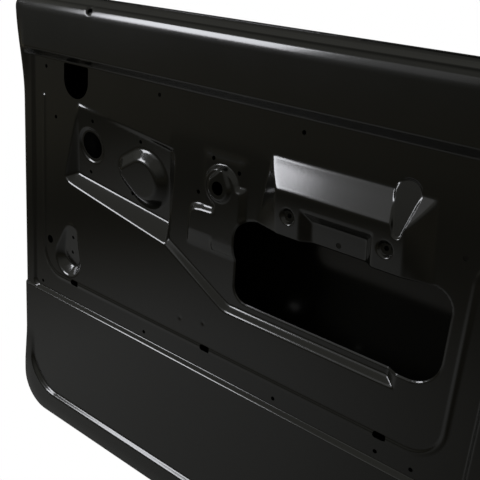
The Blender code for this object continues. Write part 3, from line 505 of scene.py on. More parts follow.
def knob_dish(x, y, z):
    """How far the sheet round the knob's hole is pressed in."""
    knob_x, knob_y, knob_z = knob_place()
    up = (z - knob_z) * math.cos(KNOB_TILT) + (y - knob_y) * math.sin(KNOB_TILT)
    inside = KNOB_DISH - np.hypot(x - knob_x, up)
    return KNOB_DISH_DEPTH * ramp(inside, KNOB_DISH_WALL, KNOB_DISH_FOLD)


def face_y(x, z):
    """Cabin side of the inner panel: its depth at each point of the face."""
    past_foot = beyond_corner(x, z, TRIM_HINGE_X, TRIM_FOOT_Z, TRIM_CORNER, 1)
    past_strip = beyond_corner(x, z, TRIM_LATCH_X, TRIM_FOOT_Z, TRIM_LATCH_CORNER, -1)
    foot = ramp(past_foot, TRIM_WALL, TRIM_FOOT_FOLD)
    strip = ramp(past_strip, TRIM_WALL, CRISP)
    y = -np.maximum(TRIM_PROUD * foot, TRIM_STRIP_PROUD * strip)
    past_lip = beyond_corner(x, z, LIP_LATCH_X, LIP_Z, LIP_CORNER, -1)
    near_sill = np.clip(1 + beyond_corner(x, z, LATCH_SIDE, SILL, SILL_CORNER, -1) / SILL_ROLL, 0, 1)
    lip = SILL_ROLL_DEPTH * near_sill ** 2 - LIP_PROUD * ramp(past_lip, LIP_WALL, FIRM)
    y = y + lip * ramp(LIP_FADE_Z - z, LIP_FADE, LIP_FADE_FOLD)
    bead = np.clip(distance_to_lines(x, z, [bead_path()]) / BEAD_HALF, 0, 1)
    y = y - BEAD_PROUD * (0.5 + 0.5 * np.cos(math.pi * bead))

    upper = UPPER_DEPTH * (UPPER_TOP_Z - z) / UPPER_RUN
    latch = LATCH_TILT * (LATCH_TILT_Z - z) + LATCH_TWIST * (x - LATCH_CORNERS[-1][0])
    crank = upper - CRANK_PROUD
    tip = (CRANK[0] + CRANK_BOSS_TIP[0], CRANK[1] + CRANK_BOSS_TIP[1], CRANK_BOSS_TIP[2])
    rolled = ARMREST_ROLL * np.clip(ARMREST_ROLL_Z - z, 0, ARMREST_ROLL_RUN) ** 2
    pocket = POCKET_TOP_LEVEL - POCKET_SLOPE * (POCKET_TOP[1] - z) + POCKET_TWIST * (x - POCKET_TOP[0])
    clip_drop = CLIP_POCKET_TOP[1] - z
    clip_wall = CLIP_POCKET_WALL + np.clip(clip_drop * CLIP_POCKET_WALL_GROWTH, 0, CLIP_POCKET_WALL_GAIN)
    plateau = HANDLE_BOSS_TILT * (HANDLE_BOSS_TIP[1] - z)
    steps = [
        (straight_share(x, z, UPPER_CORNERS, UPPER_WALLS, FIRM), upper),
        (straight_share(x, z, LATCH_CORNERS, LATCH_WALLS, FIRM), latch),
        (round_share(x, z, HANDLE_BOSS, HANDLE_BOSS_TIP, HANDLE_BOSS_WALL, HANDLE_BOSS_FOLD), plateau),
        (round_share(x, z, (*LATCH_HOLE[:2], LATCH_DISH), None, LATCH_DISH_WALL, CRISP),
         latch + LATCH_DISH_DEPTH),
        (straight_share(x, z, CRANK_FIELD_CORNERS, CRANK_FIELD_WALLS, SOFT), upper - CRANK_FIELD_PROUD),
        (straight_share(x, z, CRANK_LATCH_CORNERS, CRANK_WALLS, CRANK_FOLD), crank),
        (straight_share(x, z, CRANK_HINGE_CORNERS, CRANK_WALLS, CRANK_FOLD), crank),
        (round_share(x, z, (*CRANK, CRANK_STEP), None, CRANK_STEP_WALL, CRISP), crank),
        (round_share(x, z, (*CRANK, CRANK_BOSS), tip, CRANK_BOSS_WALL, CRISP),
         crank - CRANK_BOSS_PROUD),
        (straight_share(x, z, ARMREST_CORNERS, ARMREST_WALLS, FIRM), rolled - ARMREST_PROUD),
        (straight_share(x, z, ARMREST_RECESS_CORNERS, ARMREST_RECESS_WALLS, FIRM),
         rolled + ARMREST_RECESS_LEVEL),
    ]
    steps += [(round_share(x, z, (*seat, NUT_SEAT_R), None, NUT_SEAT_WALL, CRISP), rolled + NUT_SEAT_LEVEL)
              for seat in NUT_SEATS]
    steps += [
        (round_share(x, z, POCKET_TOP, POCKET_FOOT, POCKET_WALL, POCKET_FOLD), pocket),
        (round_share(x, z, CLIP_POCKET_TOP, CLIP_POCKET_FOOT, clip_wall, FIRM),
         CLIP_POCKET_LEVEL + CLIP_POCKET_SLOPE * clip_drop),
    ]
    for share, level in steps:
        y = y + share * (level - y)
    for mark_x, mark_z in SPOT_MARKS:
        y = y + SPOT_DEPTH * np.clip(1 - np.hypot(x - mark_x, z - mark_z) / SPOT_R, 0, 1) ** 2
    y = y + ACCESS_ROLL_DEPTH * np.clip(1 - beyond_access(x, z) / ACCESS_ROLL, 0, 1) ** 2
    crown = np.clip(z - BELT + BELT_CROWN, 0, None) ** 2 / (2 * BELT_CROWN_R)
    y = y + ramp(z - RAIL_FOOT_Z, RAIL_WALL, FIRM) * (crown - RAIL_PROUD - y)
    near_belt = z > BELT - 2 * BELT_CROWN
    y = y + knob_dish(x, y, z) * near_belt
    risen = np.clip((z - LATCH_EDGE_Z) / LATCH_EDGE_RISE, 0, 1)
    edge = -TRIM_STRIP_PROUD - (RAIL_PROUD - TRIM_STRIP_PROUD) * (0.5 - 0.5 * np.cos(math.pi * risen))
    past_edge = ramp(LATCH_EDGE_X - x, LATCH_EDGE_WALL, SOFT)
    swept = past_edge * ramp(z - LATCH_EDGE_Z, LATCH_EDGE_START, SOFT)
    return y + swept * (edge - y)


# Meshes of the pressed sheets

def stops_between(start, end, spacing, fine=()):
    """Stops along a straight side, ends left out. fine holds (low, high, spacing) stretches."""
    low, high = min(start, end), max(start, end)
    stops = set(np.round(np.linspace(low, high, max(2, round((high - low) / spacing) + 1))[1:-1], 6))
    for a, b, step in fine:
        a, b = max(a, low + step), min(b, high - step)
        stops = {s for s in stops if not a - spacing / 3 < s < b + spacing / 3}
        stops |= set(np.round(np.arange(a, b + step / 2, step), 6))
    return sorted(stops, reverse=end < start)


def door_ring(outset):
    """Points round the door, anticlockwise from the latch side's sill corner, moved out by outset:
    (x, z, belt), with belt 0 along the sides and sill and 1 along the belt."""
    left, right, foot, top = LATCH_SIDE - outset, HINGE_SIDE + outset, SILL - outset, BELT + outset
    sill, belt, last = SILL_CORNER, BELT_CORNER, BELT_CORNER_STEPS
    corner = arc(LATCH_SIDE + sill, SILL + sill, sill + outset, 180, 270, SILL_CORNER_STEPS)
    ring = [(x, z, 0) for x, z in corner]
    ring += [(x, foot, 0) for x in stops_between(LATCH_SIDE + sill, HINGE_SIDE - sill, STATION)]
    corner = arc(HINGE_SIDE - sill, SILL + sill, sill + outset, 270, 360, SILL_CORNER_STEPS)
    ring += [(x, z, 0) for x, z in corner]
    ring += [(right, z, 0) for z in stops_between(SILL + sill, BELT - belt, STATION, (RAIL_FOLDS,))]
    corner = arc(HINGE_SIDE - belt, BELT - belt, belt + outset, 0, 90, last)
    ring += [(x, z, i / last) for i, (x, z) in enumerate(corner)]
    ring += [(x, top, 1) for x in stops_between(HINGE_SIDE - belt, LATCH_SIDE + belt, STATION,
                                                (KNOB_FOLDS,))]
    corner = arc(LATCH_SIDE + belt, BELT - belt, belt + outset, 90, 180, last)
    ring += [(x, z, 1 - i / last) for i, (x, z) in enumerate(corner)]
    ring += [(left, z, 0) for z in stops_between(BELT - belt, SILL + sill, STATION,
                                                 (RAIL_FOLDS, TRIM_FOLDS))]
    return ring


def ring_plan(outset):
    return [(x, z) for x, z, _ in door_ring(outset)]


def section_rings(section):
    """Rings of points for a section round the door: section(x, z, belt) gives (outset, y) stops."""
    stops = [section(x, z, belt) for x, z, belt in door_ring(0.0)]
    outward = [(x1 - x0, z1 - z0) for (x0, z0), (x1, z1) in zip(ring_plan(0.0), ring_plan(1.0))]
    rings = []
    for level in zip(*stops):
        rings.append([(x + dx * outset, y, z + dz * outset)
                      for (x, z), (dx, dz), (outset, y) in zip(ring_plan(0.0), outward, level)])
    return rings


def spaced(loop, spacing):
    """A closed loop with extra points where its sides are long."""
    points = []
    for (ax, az), (bx, bz) in zip(loop, loop[1:] + loop[:1]):
        count = max(1, round(math.hypot(bx - ax, bz - az) / spacing))
        points += [(ax + (bx - ax) * i / count, az + (bz - az) * i / count) for i in range(count)]
    return points


def folded_points(height, turn, finest=0):
    """Plan points (x, z, spacing) for a mesh of a height over the door: the widest cells, halved where
    the sheet turns more than turn, but not below cells that are finest times doubled."""
    x0, x1, z0, z1 = DOOR
    widest = 2 ** LEVELS
    nx, nz = (int(math.ceil((b - a) / FINE / widest)) * widest for a, b in ((x0, x1), (z0, z1)))
    gx, gz = np.meshgrid(x0 + (np.arange(nx) + 0.5) * FINE, z0 + (np.arange(nz) + 0.5) * FINE)
    slope_z, slope_x = np.gradient(height(gx, gz), FINE)
    bend = sum(np.abs(g) for s in (slope_x, slope_z) for g in np.gradient(s, FINE))
    open_cells = np.ones((nz // widest, nx // widest), dtype=bool)
    points = []
    for level in range(LEVELS, -1, -1):
        size = 2 ** level
        worst = bend.reshape(nz // size, size, nx // size, size).max(axis=(1, 3)) * size * FINE
        split = open_cells & (worst > turn) & (level > finest)
        rows, columns = np.nonzero(open_cells & ~split)
        half = size * FINE / 2
        points.append(np.column_stack((x0 + columns * size * FINE + half, z0 + rows * size * FINE + half,
                                       np.full(len(rows), size * FINE))))
        open_cells = split.repeat(2, axis=0).repeat(2, axis=1)
    return np.vstack(points)


def triangulate(outline, holes, cells, folds=()):
    """Delaunay triangles of a plane region from its loops and inner points (x, z, spacing). The loops'
    points come first in the result. Folds are loops that the triangles follow."""
    loops = [outline] + holes + list(folds)
    edges, start = [], 0
    for loop in loops:
        edges += [(start + i, start + (i + 1) % len(loop)) for i in range(len(loop))]
        start += len(loop)
    keep = inside_loop(cells[:, 0], cells[:, 1], outline)
    cells = cells[keep]
    clear = np.ones(len(cells), dtype=bool)
    for loop in loops:
        low, high = np.min(loop, axis=0), np.max(loop, axis=0)
        reach = cells[:, 2:]
        near = ((cells[:, :2] > low - reach) & (cells[:, :2] < high + reach)).all(axis=1)
        closed = [loop + loop[:1]]
        apart = distance_to_lines(cells[near, 0], cells[near, 1], closed) > cells[near, 2] * 0.45
        if loop in holes:
            apart &= ~inside_loop(cells[near, 0], cells[near, 1], loop)
        clear[near] &= apart
    cells = cells[clear]
    plan = np.vstack([np.array(loop) for loop in loops] + [cells[:, :2]])
    out, _, faces, sources, _, _ = delaunay_2d_cdt([Vector(p) for p in plan], edges, [], 0, 1e-7)
    place = [min(source) for source in sources]
    faces = np.array([[place[i] for i in face] for face in faces])
    middle = plan[faces].mean(axis=1)
    keep = inside_loop(middle[:, 0], middle[:, 1], outline)
    for hole in holes:
        keep &= ~inside_loop(middle[:, 0], middle[:, 1], hole)
    return plan, faces[keep].tolist()


def slopes(height, plan):
    """Slopes of a height along X and Z at plan points."""
    x, z, step = plan[:, 0], plan[:, 1], SLOPE_STEP
    return ((height(x + step, z) - height(x - step, z)) / (2 * step),
            (height(x, z + step) - height(x, z - step)) / (2 * step))


def ring_strips(rings, first):
    """Vertices after the first ring and faces that join each ring to the next."""
    vertices, faces, size = [], [], len(rings[0])
    for k in range(len(rings) - 1):
        a, b = first + k * size, first + (k + 1) * size
        faces += [[a + (i + 1) % size, a + i, b + i, b + (i + 1) % size] for i in range(size)]
    for ring in rings:
        vertices += ring
    return vertices, faces


def new_object(name, vertices, faces):
    mesh = bpy.data.meshes.new(name)
    mesh.from_pydata([Vector(v) + DATUM for v in vertices], [], faces)
    made = bpy.data.objects.new(name, mesh)
    bpy.context.scene.collection.objects.link(made)
    return made


def edge_solid(name, near_rings, far_rings, cutters):
    """Closed strip round the door from two sets of rings, cut by separate solids. Its inner rim, where
    it meets the face, is marked so that it can be left out."""
    near, near_faces = ring_strips(near_rings, 0)
    far, far_faces = ring_strips(far_rings, len(near))
    size, last = len(near_rings[0]), len(near) - len(near_rings[0])
    faces = near_faces + [face[::-1] for face in far_faces]
    for i in range(size):
        j = (i + 1) % size
        faces.append([last + j, last + i, last + i + len(near), last + j + len(near)])
    rim = [[i, (i + 1) % size, (i + 1) % size + len(near), i + len(near)] for i in range(size)]
    strip = new_object(name, near + far, faces + rim)
    strip.data.materials.append(None)
    strip.data.materials.append(None)
    for polygon in strip.data.polygons[len(faces):]:
        polygon.material_index = 1
    made = []
    if cutters:
        vertices, cutter_faces = [], []
        for solid_vertices, solid_faces in cutters:
            cutter_faces += [[i + len(vertices) for i in face] for face in solid_faces]
            vertices += list(solid_vertices)
        cutter = new_object(name + "_cuts", vertices, cutter_faces)
        modifier = strip.modifiers.new("cuts", "BOOLEAN")
        modifier.object = cutter
        made.append(cutter)
    bpy.context.view_layer.update()
    mesh = strip.evaluated_get(bpy.context.evaluated_depsgraph_get()).to_mesh()
    points = [v.co - DATUM for v in mesh.vertices]
    kept = [list(p.vertices) for p in mesh.polygons if p.material_index == 0]
    for old in made + [strip]:
        bpy.data.objects.remove(old, do_unlink=True)
    return points, kept


def pressed_sheet(name, height, outline, holes, fine_cells, wide_cells, thickness, sections, cutters,
                  folds=()):
    """A whole pressed sheet: the face as a height over the plan, its far side one thickness away, the
    holes' edges, and the bent edge round it from sections. Folds are loops that the triangles follow."""
    side = 1 if thickness > 0 else -1
    near_plan, near_faces = triangulate(outline, holes, fine_cells, folds)
    far_plan, far_faces = triangulate(outline, holes, wide_cells, folds)
    vertices = [(x, y, z) for (x, z), y in zip(near_plan, height(near_plan[:, 0], near_plan[:, 1]))]
    steep = np.sqrt(1 + sum(s ** 2 for s in slopes(height, far_plan)))
    steep[:len(outline) + sum(len(hole) for hole in holes)] = 1
    far_y = height(far_plan[:, 0], far_plan[:, 1]) + thickness * steep
    shift = len(vertices)
    vertices += [(x, y, z) for (x, z), y in zip(far_plan, far_y)]
    faces = [face[::side] for face in near_faces]
    faces += [[i + shift for i in face][::-side] for face in far_faces]
    sheet_faces = len(faces)
    start = len(outline)
    for hole in holes:
        for i in range(len(hole)):
            a, b = start + i, start + (i + 1) % len(hole)
            faces.append([a, b, b + shift, a + shift][::side])
        start += len(hole)
    rim_faces = len(faces)

    rings = [section_rings(section) for section in sections]
    first = vertices[:len(outline)], vertices[shift:shift + len(outline)]
    points, edge_faces = edge_solid(name + "_edge", [first[0]] + rings[0], [first[1]] + rings[1], cutters)
    border = list(range(len(outline))) + list(range(shift, shift + len(outline)))
    tree = KDTree(len(border))
    for index in border:
        tree.insert(vertices[index], index)
    tree.balance()
    places = []
    for point in points:
        _, index, distance = tree.find(point)
        if distance > SAME_POINT:
            index = len(vertices)
            vertices.append(tuple(point))
        places.append(index)
    faces += [[places[i] for i in face][::side] for face in edge_faces]

    made = new_object(name, vertices, faces)
    mesh = made.data
    mesh.shade_smooth()
    mesh.set_sharp_from_angle(angle=SHARP)
    normals = np.zeros((len(vertices), 3))
    for plan, first_vertex, sign in ((near_plan, 0, side), (far_plan, shift, -side)):
        slope_x, slope_z = slopes(height, plan)
        turned = np.column_stack((slope_x, -np.ones(len(plan)), slope_z)) * sign
        turned /= np.linalg.norm(turned, axis=1)[:, None]
        normals[first_vertex:first_vertex + len(plan)] = turned
    corner_vertex = np.zeros(len(mesh.loops), dtype=int)
    mesh.loops.foreach_get("vertex_index", corner_vertex)
    corner_normals = normals[corner_vertex]
    rim_start = mesh.polygons[sheet_faces].loop_start if rim_faces > sheet_faces else 0
    rim_end = mesh.polygons[rim_faces].loop_start if rim_faces > sheet_faces else 0
    corner_normals[rim_start:rim_end] = 0
    mesh.normals_split_custom_set(corner_normals)
    return made


def plain_bend(i):
    """Outset, depth and tilt at a step of the bend round the sides and sill."""
    tilt = math.pi / 2 * i / BEND_STEPS
    return -EDGE_BEND + EDGE_BEND * math.sin(tilt), EDGE_BEND - EDGE_BEND * math.cos(tilt), tilt


def belt_bend(i):
    """The same at the belt, where a shallow crown runs into a tighter roll. Depths are from the rail."""
    crown, first = BELT_CROWN - BELT_ROLL, math.atan((BELT_CROWN - BELT_ROLL) / BELT_CROWN_R)
    if i <= CROWN_STEPS:
        run = BELT_CROWN - EDGE_BEND + (EDGE_BEND - BELT_ROLL) * i / CROWN_STEPS
        return run - BELT_CROWN, run ** 2 / (2 * BELT_CROWN_R), math.atan(run / BELT_CROWN_R)
    tilt = first + (math.pi / 2 - first) * (i - CROWN_STEPS) / (BEND_STEPS - CROWN_STEPS)
    radius = BELT_ROLL / (1 - math.sin(first))
    return (-BELT_ROLL + radius * (math.sin(tilt) - math.sin(first)),
            crown ** 2 / (2 * BELT_CROWN_R) + radius * (math.cos(first) - math.cos(tilt)), tilt)


def between(side, top, belt):
    """Stops of a section between those of a side and those of the belt."""
    return [(s[0] + (t[0] - s[0]) * belt, s[1] + (t[1] - s[1]) * belt) for s, t in zip(side, top)]


def panel_section(starts, thickness):
    """Side wall of the inner panel: the bend, the wall and its flange, or a plain end at the belt."""
    def section(x, z, belt):
        start = starts[x, z]
        crown = (BELT_CROWN - EDGE_BEND) ** 2 / (2 * BELT_CROWN_R)
        stops = []
        for i in range(1, BEND_STEPS + 1):
            (o0, y0, t0), (o1, y1, t1) = plain_bend(i), belt_bend(i)
            tilt = t0 + (t1 - t0) * belt
            y = start + y0 + (y1 - crown - y0) * belt
            if belt == 1 and i < BEND_STEPS:
                y += knob_dish(x, y, BELT + o1)
            outset = o0 + (o1 - o0) * belt
            stops.append((outset - thickness * math.sin(tilt), y + thickness * math.cos(tilt)))
        run = min(x - GLASS_SLOT[0], GLASS_SLOT[1] - x)
        lip = SLOT_LIP * belt * min(max(run / SLOT_LIP_RUN, 0), 1)
        for share in SLOT_LIP_SHARES:
            y = SLOT_LIP_START + (GLASS_SLOT[2] - SLOT_LIP_START) * share
            stops.append((lip * share ** 2 - thickness, y))
        stops.append((-thickness, (GLASS_SLOT[2] + GLASS_SLOT[3]) / 2))
        flange_y = skin_y(x, z) - SKIN_T - SEAM_GAP - PANEL_T
        flange_bend = FLANGE_BEND + thickness
        turns = [math.pi / 2 * i / FLANGE_STEPS for i in range(FLANGE_STEPS + 1)]
        side = [(FLANGE_BEND - flange_bend * math.cos(turn),
                 flange_y - FLANGE_BEND + flange_bend * math.sin(turn)) for turn in turns]
        side.append((FLANGE, flange_y + thickness))
        end = skin_y(x, z) - HEM_FOLD - BELT_END_PLAY
        top = [(-thickness, end - PLAIN_END_STEP * step) for step in range(FLANGE_STEPS + 1, -1, -1)]
        return stops + between(side, top, belt)
    return section


def skin_section(inset):
    """Edge of the skin: the hem folded back over the flange, or the lip over the belt."""
    def section(x, z, belt):
        y, fold, middle = skin_y(x, z), HEM_FOLD - inset, HEM - HEM_FOLD
        side = [(0.0, y - inset)]
        turns = [math.pi * i / HEM_STEPS for i in range(HEM_STEPS + 1)]
        side += [(middle + fold * math.sin(turn), y - HEM_FOLD + fold * math.cos(turn)) for turn in turns]
        side.append((HEM_LIP, y - HEM_FOLD - fold))
        crest = SKIN_T + SEAM_GAP - HEM_FOLD
        top = [(-HEM_FOLD * 4, y - inset)]
        top += [(crest + fold * math.sin(turn), y - HEM_FOLD + fold * math.cos(turn))
                for turn in turns[:HEM_STEPS // 2 + 1]]
        top += [(crest + fold, y - HEM_FOLD - BELT_LIP * i / 5) for i in range(1, 6)]
        return between(side, top, belt)
    return section


def cylinder_solid(centre, axis, radius, length):
    steps = CUTTER_STEPS
    turn = Vector((0, 0, 1)).rotation_difference(Vector(axis)).to_matrix()
    ends = [[Vector((math.cos(a), math.sin(a), 0)) * radius + Vector((0, 0, h * length / 2))
             for a in (2 * math.pi * i / steps for i in range(steps))] for h in (-1, 1)]
    vertices = [turn @ v + Vector(centre) for v in ends[0] + ends[1]]
    faces = [list(range(steps))[::-1], list(range(steps, 2 * steps))]
    faces += [[i, (i + 1) % steps, (i + 1) % steps + steps, i + steps] for i in range(steps)]
    return vertices, faces


def box_solid(x0, x1, y0, y1, z0, z1):
    vertices = [(x, y, z) for z in (z0, z1) for y in (y0, y1) for x in (x0, x1)]
    faces = [[0, 2, 3, 1], [4, 5, 7, 6], [0, 1, 5, 4], [2, 6, 7, 3], [0, 4, 6, 2], [1, 3, 7, 5]]
    return vertices, faces


def side_wall_cutters():
    """Glass slot, frame bolts, knob, latch, hinges, check strap and drains."""
    reach = 4 * PANEL_T
    x0, x1, y0, y1 = GLASS_SLOT
    solids = [box_solid(x0, x1, y0, y1, BELT - reach, BELT + SLOT_LIP + reach)]
    for x in FRAME_BOLTS_X:
        solids.append(cylinder_solid((x, FRAME_BOLT_Y, BELT), (0, 0, 1), FRAME_BOLT_HOLE, 2 * reach))
    axis = (0, -math.cos(KNOB_TILT), math.sin(KNOB_TILT))
    solids.append(cylinder_solid(knob_place(), axis, KNOB_HOLE, 2 * reach))
    y0, y1, z0, z1 = LATCH_CUT
    solids.append(box_solid(LATCH_SIDE - reach, LATCH_SIDE + reach, y0, y1, z0, z1))
    for y, z in LATCH_SCREWS:
        solids.append(cylinder_solid((LATCH_SIDE, y, z), (1, 0, 0), LATCH_SCREW_HOLE, 2 * reach))
    for middle in (UPPER_HINGE_Z, LOWER_HINGE_Z):
        for z in (middle - HINGE_PITCH / 2, middle + HINGE_PITCH / 2):
            solids.append(cylinder_solid((HINGE_SIDE, HINGE_Y, z), (1, 0, 0), HINGE_HOLE, 2 * reach))
    solids.append(box_solid(HINGE_SIDE - reach, HINGE_SIDE + reach,
                            HINGE_Y - CHECK_SLOT[0] / 2, HINGE_Y + CHECK_SLOT[0] / 2,
                            CHECK_Z - CHECK_SLOT[1] / 2, CHECK_Z + CHECK_SLOT[1] / 2))
    for z in (CHECK_Z - CHECK_SCREW_PITCH / 2, CHECK_Z + CHECK_SCREW_PITCH / 2):
        solids.append(cylinder_solid((HINGE_SIDE, HINGE_Y, z), (1, 0, 0), CHECK_SCREW_HOLE, 2 * reach))
    for x in DRAINS_X:
        y = skin_y(x, SILL) - 4 * DRAIN[1]
        solids.append(box_solid(x - DRAIN[0] / 2, x + DRAIN[0] / 2, y - DRAIN[1], y,
                                SILL - reach, SILL + reach))
    return solids


def face_holes():
    """Loops of every hole in the inner panel's face."""
    holes = [circle(x, z, r, 20) for x, z, r in SMALL_HOLES]
    holes += [circle(x, z, r, 24 + int(r * 2000)) for x, z, r in ROUND_HOLES]
    holes += [centred_box(x, z, *CLIP_SLOT, CLIP_SLOT_CORNER, 6) for x, z in CLIP_SLOTS]
    holes += [centred_box(x, z, NUT_HOLE, NUT_HOLE, NUT_HOLE_CORNER, 3) for x, z in NUT_SEATS]
    holes.append(spaced(rounded_box(*GRIP_HOLE, GRIP_HOLE_CORNERS, 24), 0.003))
    x0, x1, z0, z1 = ACCESS
    holes.append(spaced(rounded_box(x0, x1, z0, z1, ACCESS_CORNERS, 16), 0.002))
    return holes


def pocket_folds():
    """Loops down the steep wall of the armrest's teardrop pocket."""
    (ax, az, top), (bx, bz, foot) = POCKET_TOP, POCKET_FOOT
    run = math.degrees(math.atan2(bz - az, bx - ax))
    lean = math.degrees(math.acos((top - foot) / math.hypot(bx - ax, bz - az)))
    return [spaced(arc(ax, az, top - inset, run + lean, run - lean + 360, 60)
                   + arc(bx, bz, foot - inset, run - lean, run + lean, 24), POCKET_SPACING)
            for inset in POCKET_INSETS]


def inner_panel():
    """The cabin side sheet, with every pressing rounded at its folds."""
    outline = ring_plan(-EDGE_BEND)
    start_y = face_y(*np.array(outline).T)
    starts = dict(zip(ring_plan(0.0), start_y))
    return pressed_sheet("inner_panel_sheet", face_y, outline, face_holes(),
                         folded_points(face_y, TURN, 1), folded_points(face_y, TURN * 2, 2), PANEL_T,
                         [panel_section(starts, 0.0), panel_section(starts, PANEL_T)],
                         side_wall_cutters(), pocket_folds())


def outer_skin():
    """The crowned skin, hemmed round the flange."""
    holes = [spaced(centred_box(*HANDLE, HANDLE_CORNER, 8), 0.006), circle(*LOCK, 48)]
    cells = folded_points(skin_y, TURN)
    return pressed_sheet("outer_skin_sheet", skin_y, ring_plan(-SKIN_MARGIN), holes, cells, cells, -SKIN_T,
                         [skin_section(0.0), skin_section(SKIN_T)], [])


# Finishes

def material_tree(name):
    made = bpy.data.materials.new(name)
    made.use_nodes = True
    made.node_tree.nodes.clear()
    return made, made.node_tree


def black_electrocoat():
    """Black electrocoat primer, dipped and baked on pressed steel: near black and satin, with a very
    slight orange peel that breaks up long highlights."""
    made, tree = material_tree("black_electrocoat_primer")
    place = add_node(tree, "ShaderNodeTexCoord").outputs["Object"]
    # Orange peel has waves of about 1 mm; drawn at 3 mm so that it shows.
    peel = add_node(tree, "ShaderNodeTexNoise", {"Vector": place, "Scale": 1 / PEEL_WAVE, "Detail": 2.0})
    bump = add_node(tree, "ShaderNodeBump", {"Height": peel.outputs["Fac"], "Strength": 0.05,
                                             "Distance": 0.0004})
    # Film thickness drifts over a hand's breadth, about 120 mm, as the dip drains.
    drift = add_node(tree, "ShaderNodeTexNoise", {"Vector": place, "Scale": 1 / DRIFT_WAVE, "Detail": 3.0})
    rough = add_node(tree, "ShaderNodeMapRange", {"Value": drift.outputs["Fac"], "From Min": 0.3,
                                                  "From Max": 0.7, "To Min": 0.14, "To Max": 0.17})
    shader = add_node(tree, "ShaderNodeBsdfPrincipled", {
        "Base Color": linear(PRIMER_BLACK), "Roughness": rough.outputs["Result"], "IOR": 1.5,
        "Normal": bump.outputs["Normal"]})
    add_node(tree, "ShaderNodeOutputMaterial", {"Surface": shader.outputs["BSDF"]})
    return made


def dress(piece, finish):
    piece.data.materials.clear()
    piece.data.materials.append(finish)


# Studio

def camera():
    """The photograph's viewpoint."""
    data = bpy.data.cameras.new("camera")
    data.lens = VIEW_LENS
    made = bpy.data.objects.new("camera", data)
    back = VIEW_RIGHT.cross(VIEW_UP)
    turn = Matrix((VIEW_RIGHT, VIEW_UP, back)).transposed()
    made.matrix_world = Matrix.Translation(VIEW_FROM + DATUM) @ turn.to_4x4()
    bpy.context.scene.collection.objects.link(made)
    bpy.context.scene.camera = made


def softbox(name, azimuth, elevation, distance, size, power):
    """A rectangular area lamp aimed at the middle of the door. Azimuth 0 is straight in front of the
    trim face, and positive towards the latch edge."""
    a, e = math.radians(azimuth), math.radians(elevation)
    direction = Vector((-math.sin(a) * math.cos(e), -math.cos(a) * math.cos(e), math.sin(e)))
    data = bpy.data.lights.new(name, "AREA")
    data.shape = "RECTANGLE"
    data.size, data.size_y = size
    data.energy = power
    data.color = LAMP_TINT
    made = bpy.data.objects.new(name, data)
    made.location = DATUM + direction * distance
    made.rotation_euler = direction.to_track_quat("Z", "Y").to_euler()
    bpy.context.scene.collection.objects.link(made)


def studio_floor():
    """Matt painted floor: white to the camera, and grey for what the primer mirrors and for the light
    that comes up from it. The grey is painted light: a pool of light in front of the door, a darker ring
    of painted shade round it and a lighter far floor."""
    mesh = bpy.data.meshes.new("floor")
    edit = bmesh.new()
    bmesh.ops.create_grid(edit, x_segments=1, y_segments=1, size=FLOOR_REACH)
    edit.to_mesh(mesh)
    edit.free()
    made = bpy.data.objects.new("floor", mesh)
    made.location = Vector((MID_X, 0, SILL - HEM - FLOOR_DROP)) + DATUM
    bpy.context.scene.collection.objects.link(made)
    finish, tree = material_tree("matt_floor_with_painted_light")
    place = add_node(tree, "ShaderNodeTexCoord").outputs["Object"]
    away = add_node(tree, "ShaderNodeVectorMath", {0: place, 1: FLOOR_POOL_MIDDLE}, operation="DISTANCE")
    painted_light_tone = linear(FLOOR_PAINTED_POOL_GREY)
    # Painted light on the floor: the grey pool runs into a darker ring of painted shade, then into a
    # lighter far floor.
    for (start, end), colour in ((FLOOR_SHADE_RING_DISTANCES, FLOOR_PAINTED_SHADE_TONE), (FLOOR_BEYOND, FLOOR_FAR_PAINTED_LIGHT)):
        share = add_node(tree, "ShaderNodeMapRange", {"Value": away.outputs["Value"], "From Min": start,
                                                      "From Max": end})
        painted_light_tone = add_node(tree, "ShaderNodeMix", {"Factor": share.outputs["Result"], "A": painted_light_tone,
                                                "B": linear(colour)}, data_type="RGBA").outputs["Result"]
    floor_paint_and_painted_light = add_node(tree, "ShaderNodeBsdfDiffuse", {"Color": painted_light_tone})
    white = add_node(tree, "ShaderNodeEmission", {"Color": linear(PAPER_WHITE), "Strength": 1.0})
    path = add_node(tree, "ShaderNodeLightPath")
    seen = add_node(tree, "ShaderNodeMixShader", {"Fac": path.outputs["Is Camera Ray"],
                                                  1: floor_paint_and_painted_light.outputs["BSDF"], 2: white.outputs["Emission"]})
    add_node(tree, "ShaderNodeOutputMaterial", {"Surface": seen.outputs["Shader"]})
    mesh.materials.append(finish)


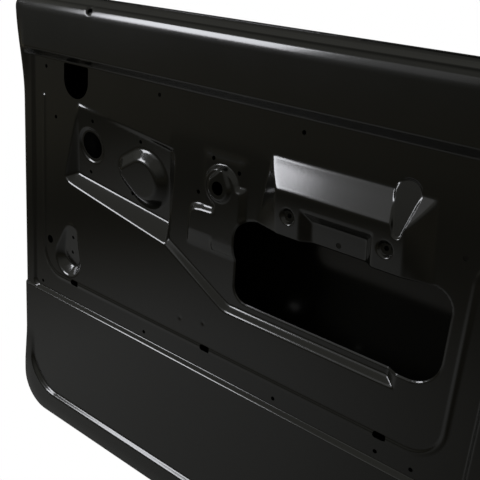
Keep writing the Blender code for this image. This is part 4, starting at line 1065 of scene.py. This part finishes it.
def studio_world():
    """White to the camera. Everything else is lit by a dim room, brighter overhead and on the camera's
    side, as a dark studio with one white wall has."""
    world = bpy.data.worlds.new("studio")
    bpy.context.scene.world = world
    world.use_nodes = True
    tree = world.node_tree
    tree.nodes.clear()
    path = add_node(tree, "ShaderNodeLightPath")
    direction = add_node(tree, "ShaderNodeTexCoord").outputs["Generated"]
    parts = add_node(tree, "ShaderNodeSeparateXYZ", {"Vector": direction})
    ceiling = add_node(tree, "ShaderNodeMapRange", {"Value": parts.outputs["Z"], "From Min": -0.1,
                                                    "From Max": 0.3, "To Min": 0.10, "To Max": 0.35})
    behind = add_node(tree, "ShaderNodeMapRange", {"Value": parts.outputs["Y"], "From Min": -0.3,
                                                   "From Max": 0.3, "To Min": 1.0, "To Max": 0.2})
    strength = add_node(tree, "ShaderNodeMath", {0: ceiling.outputs["Result"], 1: behind.outputs["Result"]},
                        operation="MULTIPLY")
    room = add_node(tree, "ShaderNodeBackground", {"Color": linear(ROOM_TINT),
                                                   "Strength": strength.outputs["Value"]})
    white = add_node(tree, "ShaderNodeBackground", {"Color": linear(PAPER_WHITE), "Strength": 1.0})
    seen = add_node(tree, "ShaderNodeMath", {0: path.outputs["Is Camera Ray"],
                                             1: path.outputs["Is Transmission Ray"]}, operation="MAXIMUM")
    mix = add_node(tree, "ShaderNodeMixShader", {"Fac": seen.outputs["Value"],
                                                 1: room.outputs["Background"],
                                                 2: white.outputs["Background"]})
    add_node(tree, "ShaderNodeOutputWorld", {"Surface": mix.outputs["Shader"]})


def main():
    for old in list(bpy.data.objects):
        bpy.data.objects.remove(old, do_unlink=True)
    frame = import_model()
    bpy.context.scene.view_settings.view_transform = "Standard"
    camera()

    primer = black_electrocoat()
    for node in frame["nodes"].values():
        dress(node, primer)
    for make, node in ((inner_panel, "inner_panel"), (outer_skin, "outer_skin")):
        sheet = make()
        dress(sheet, primer)
        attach(sheet, "root")
        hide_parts(node)

    softbox("main_softbox", azimuth=45, elevation=20, distance=1.9, size=(0.72, 0.62), power=21)
    softbox("wide_softbox", azimuth=30, elevation=22, distance=2.0, size=(1.1, 1.0), power=1.7)
    studio_floor()
    studio_world()


main()
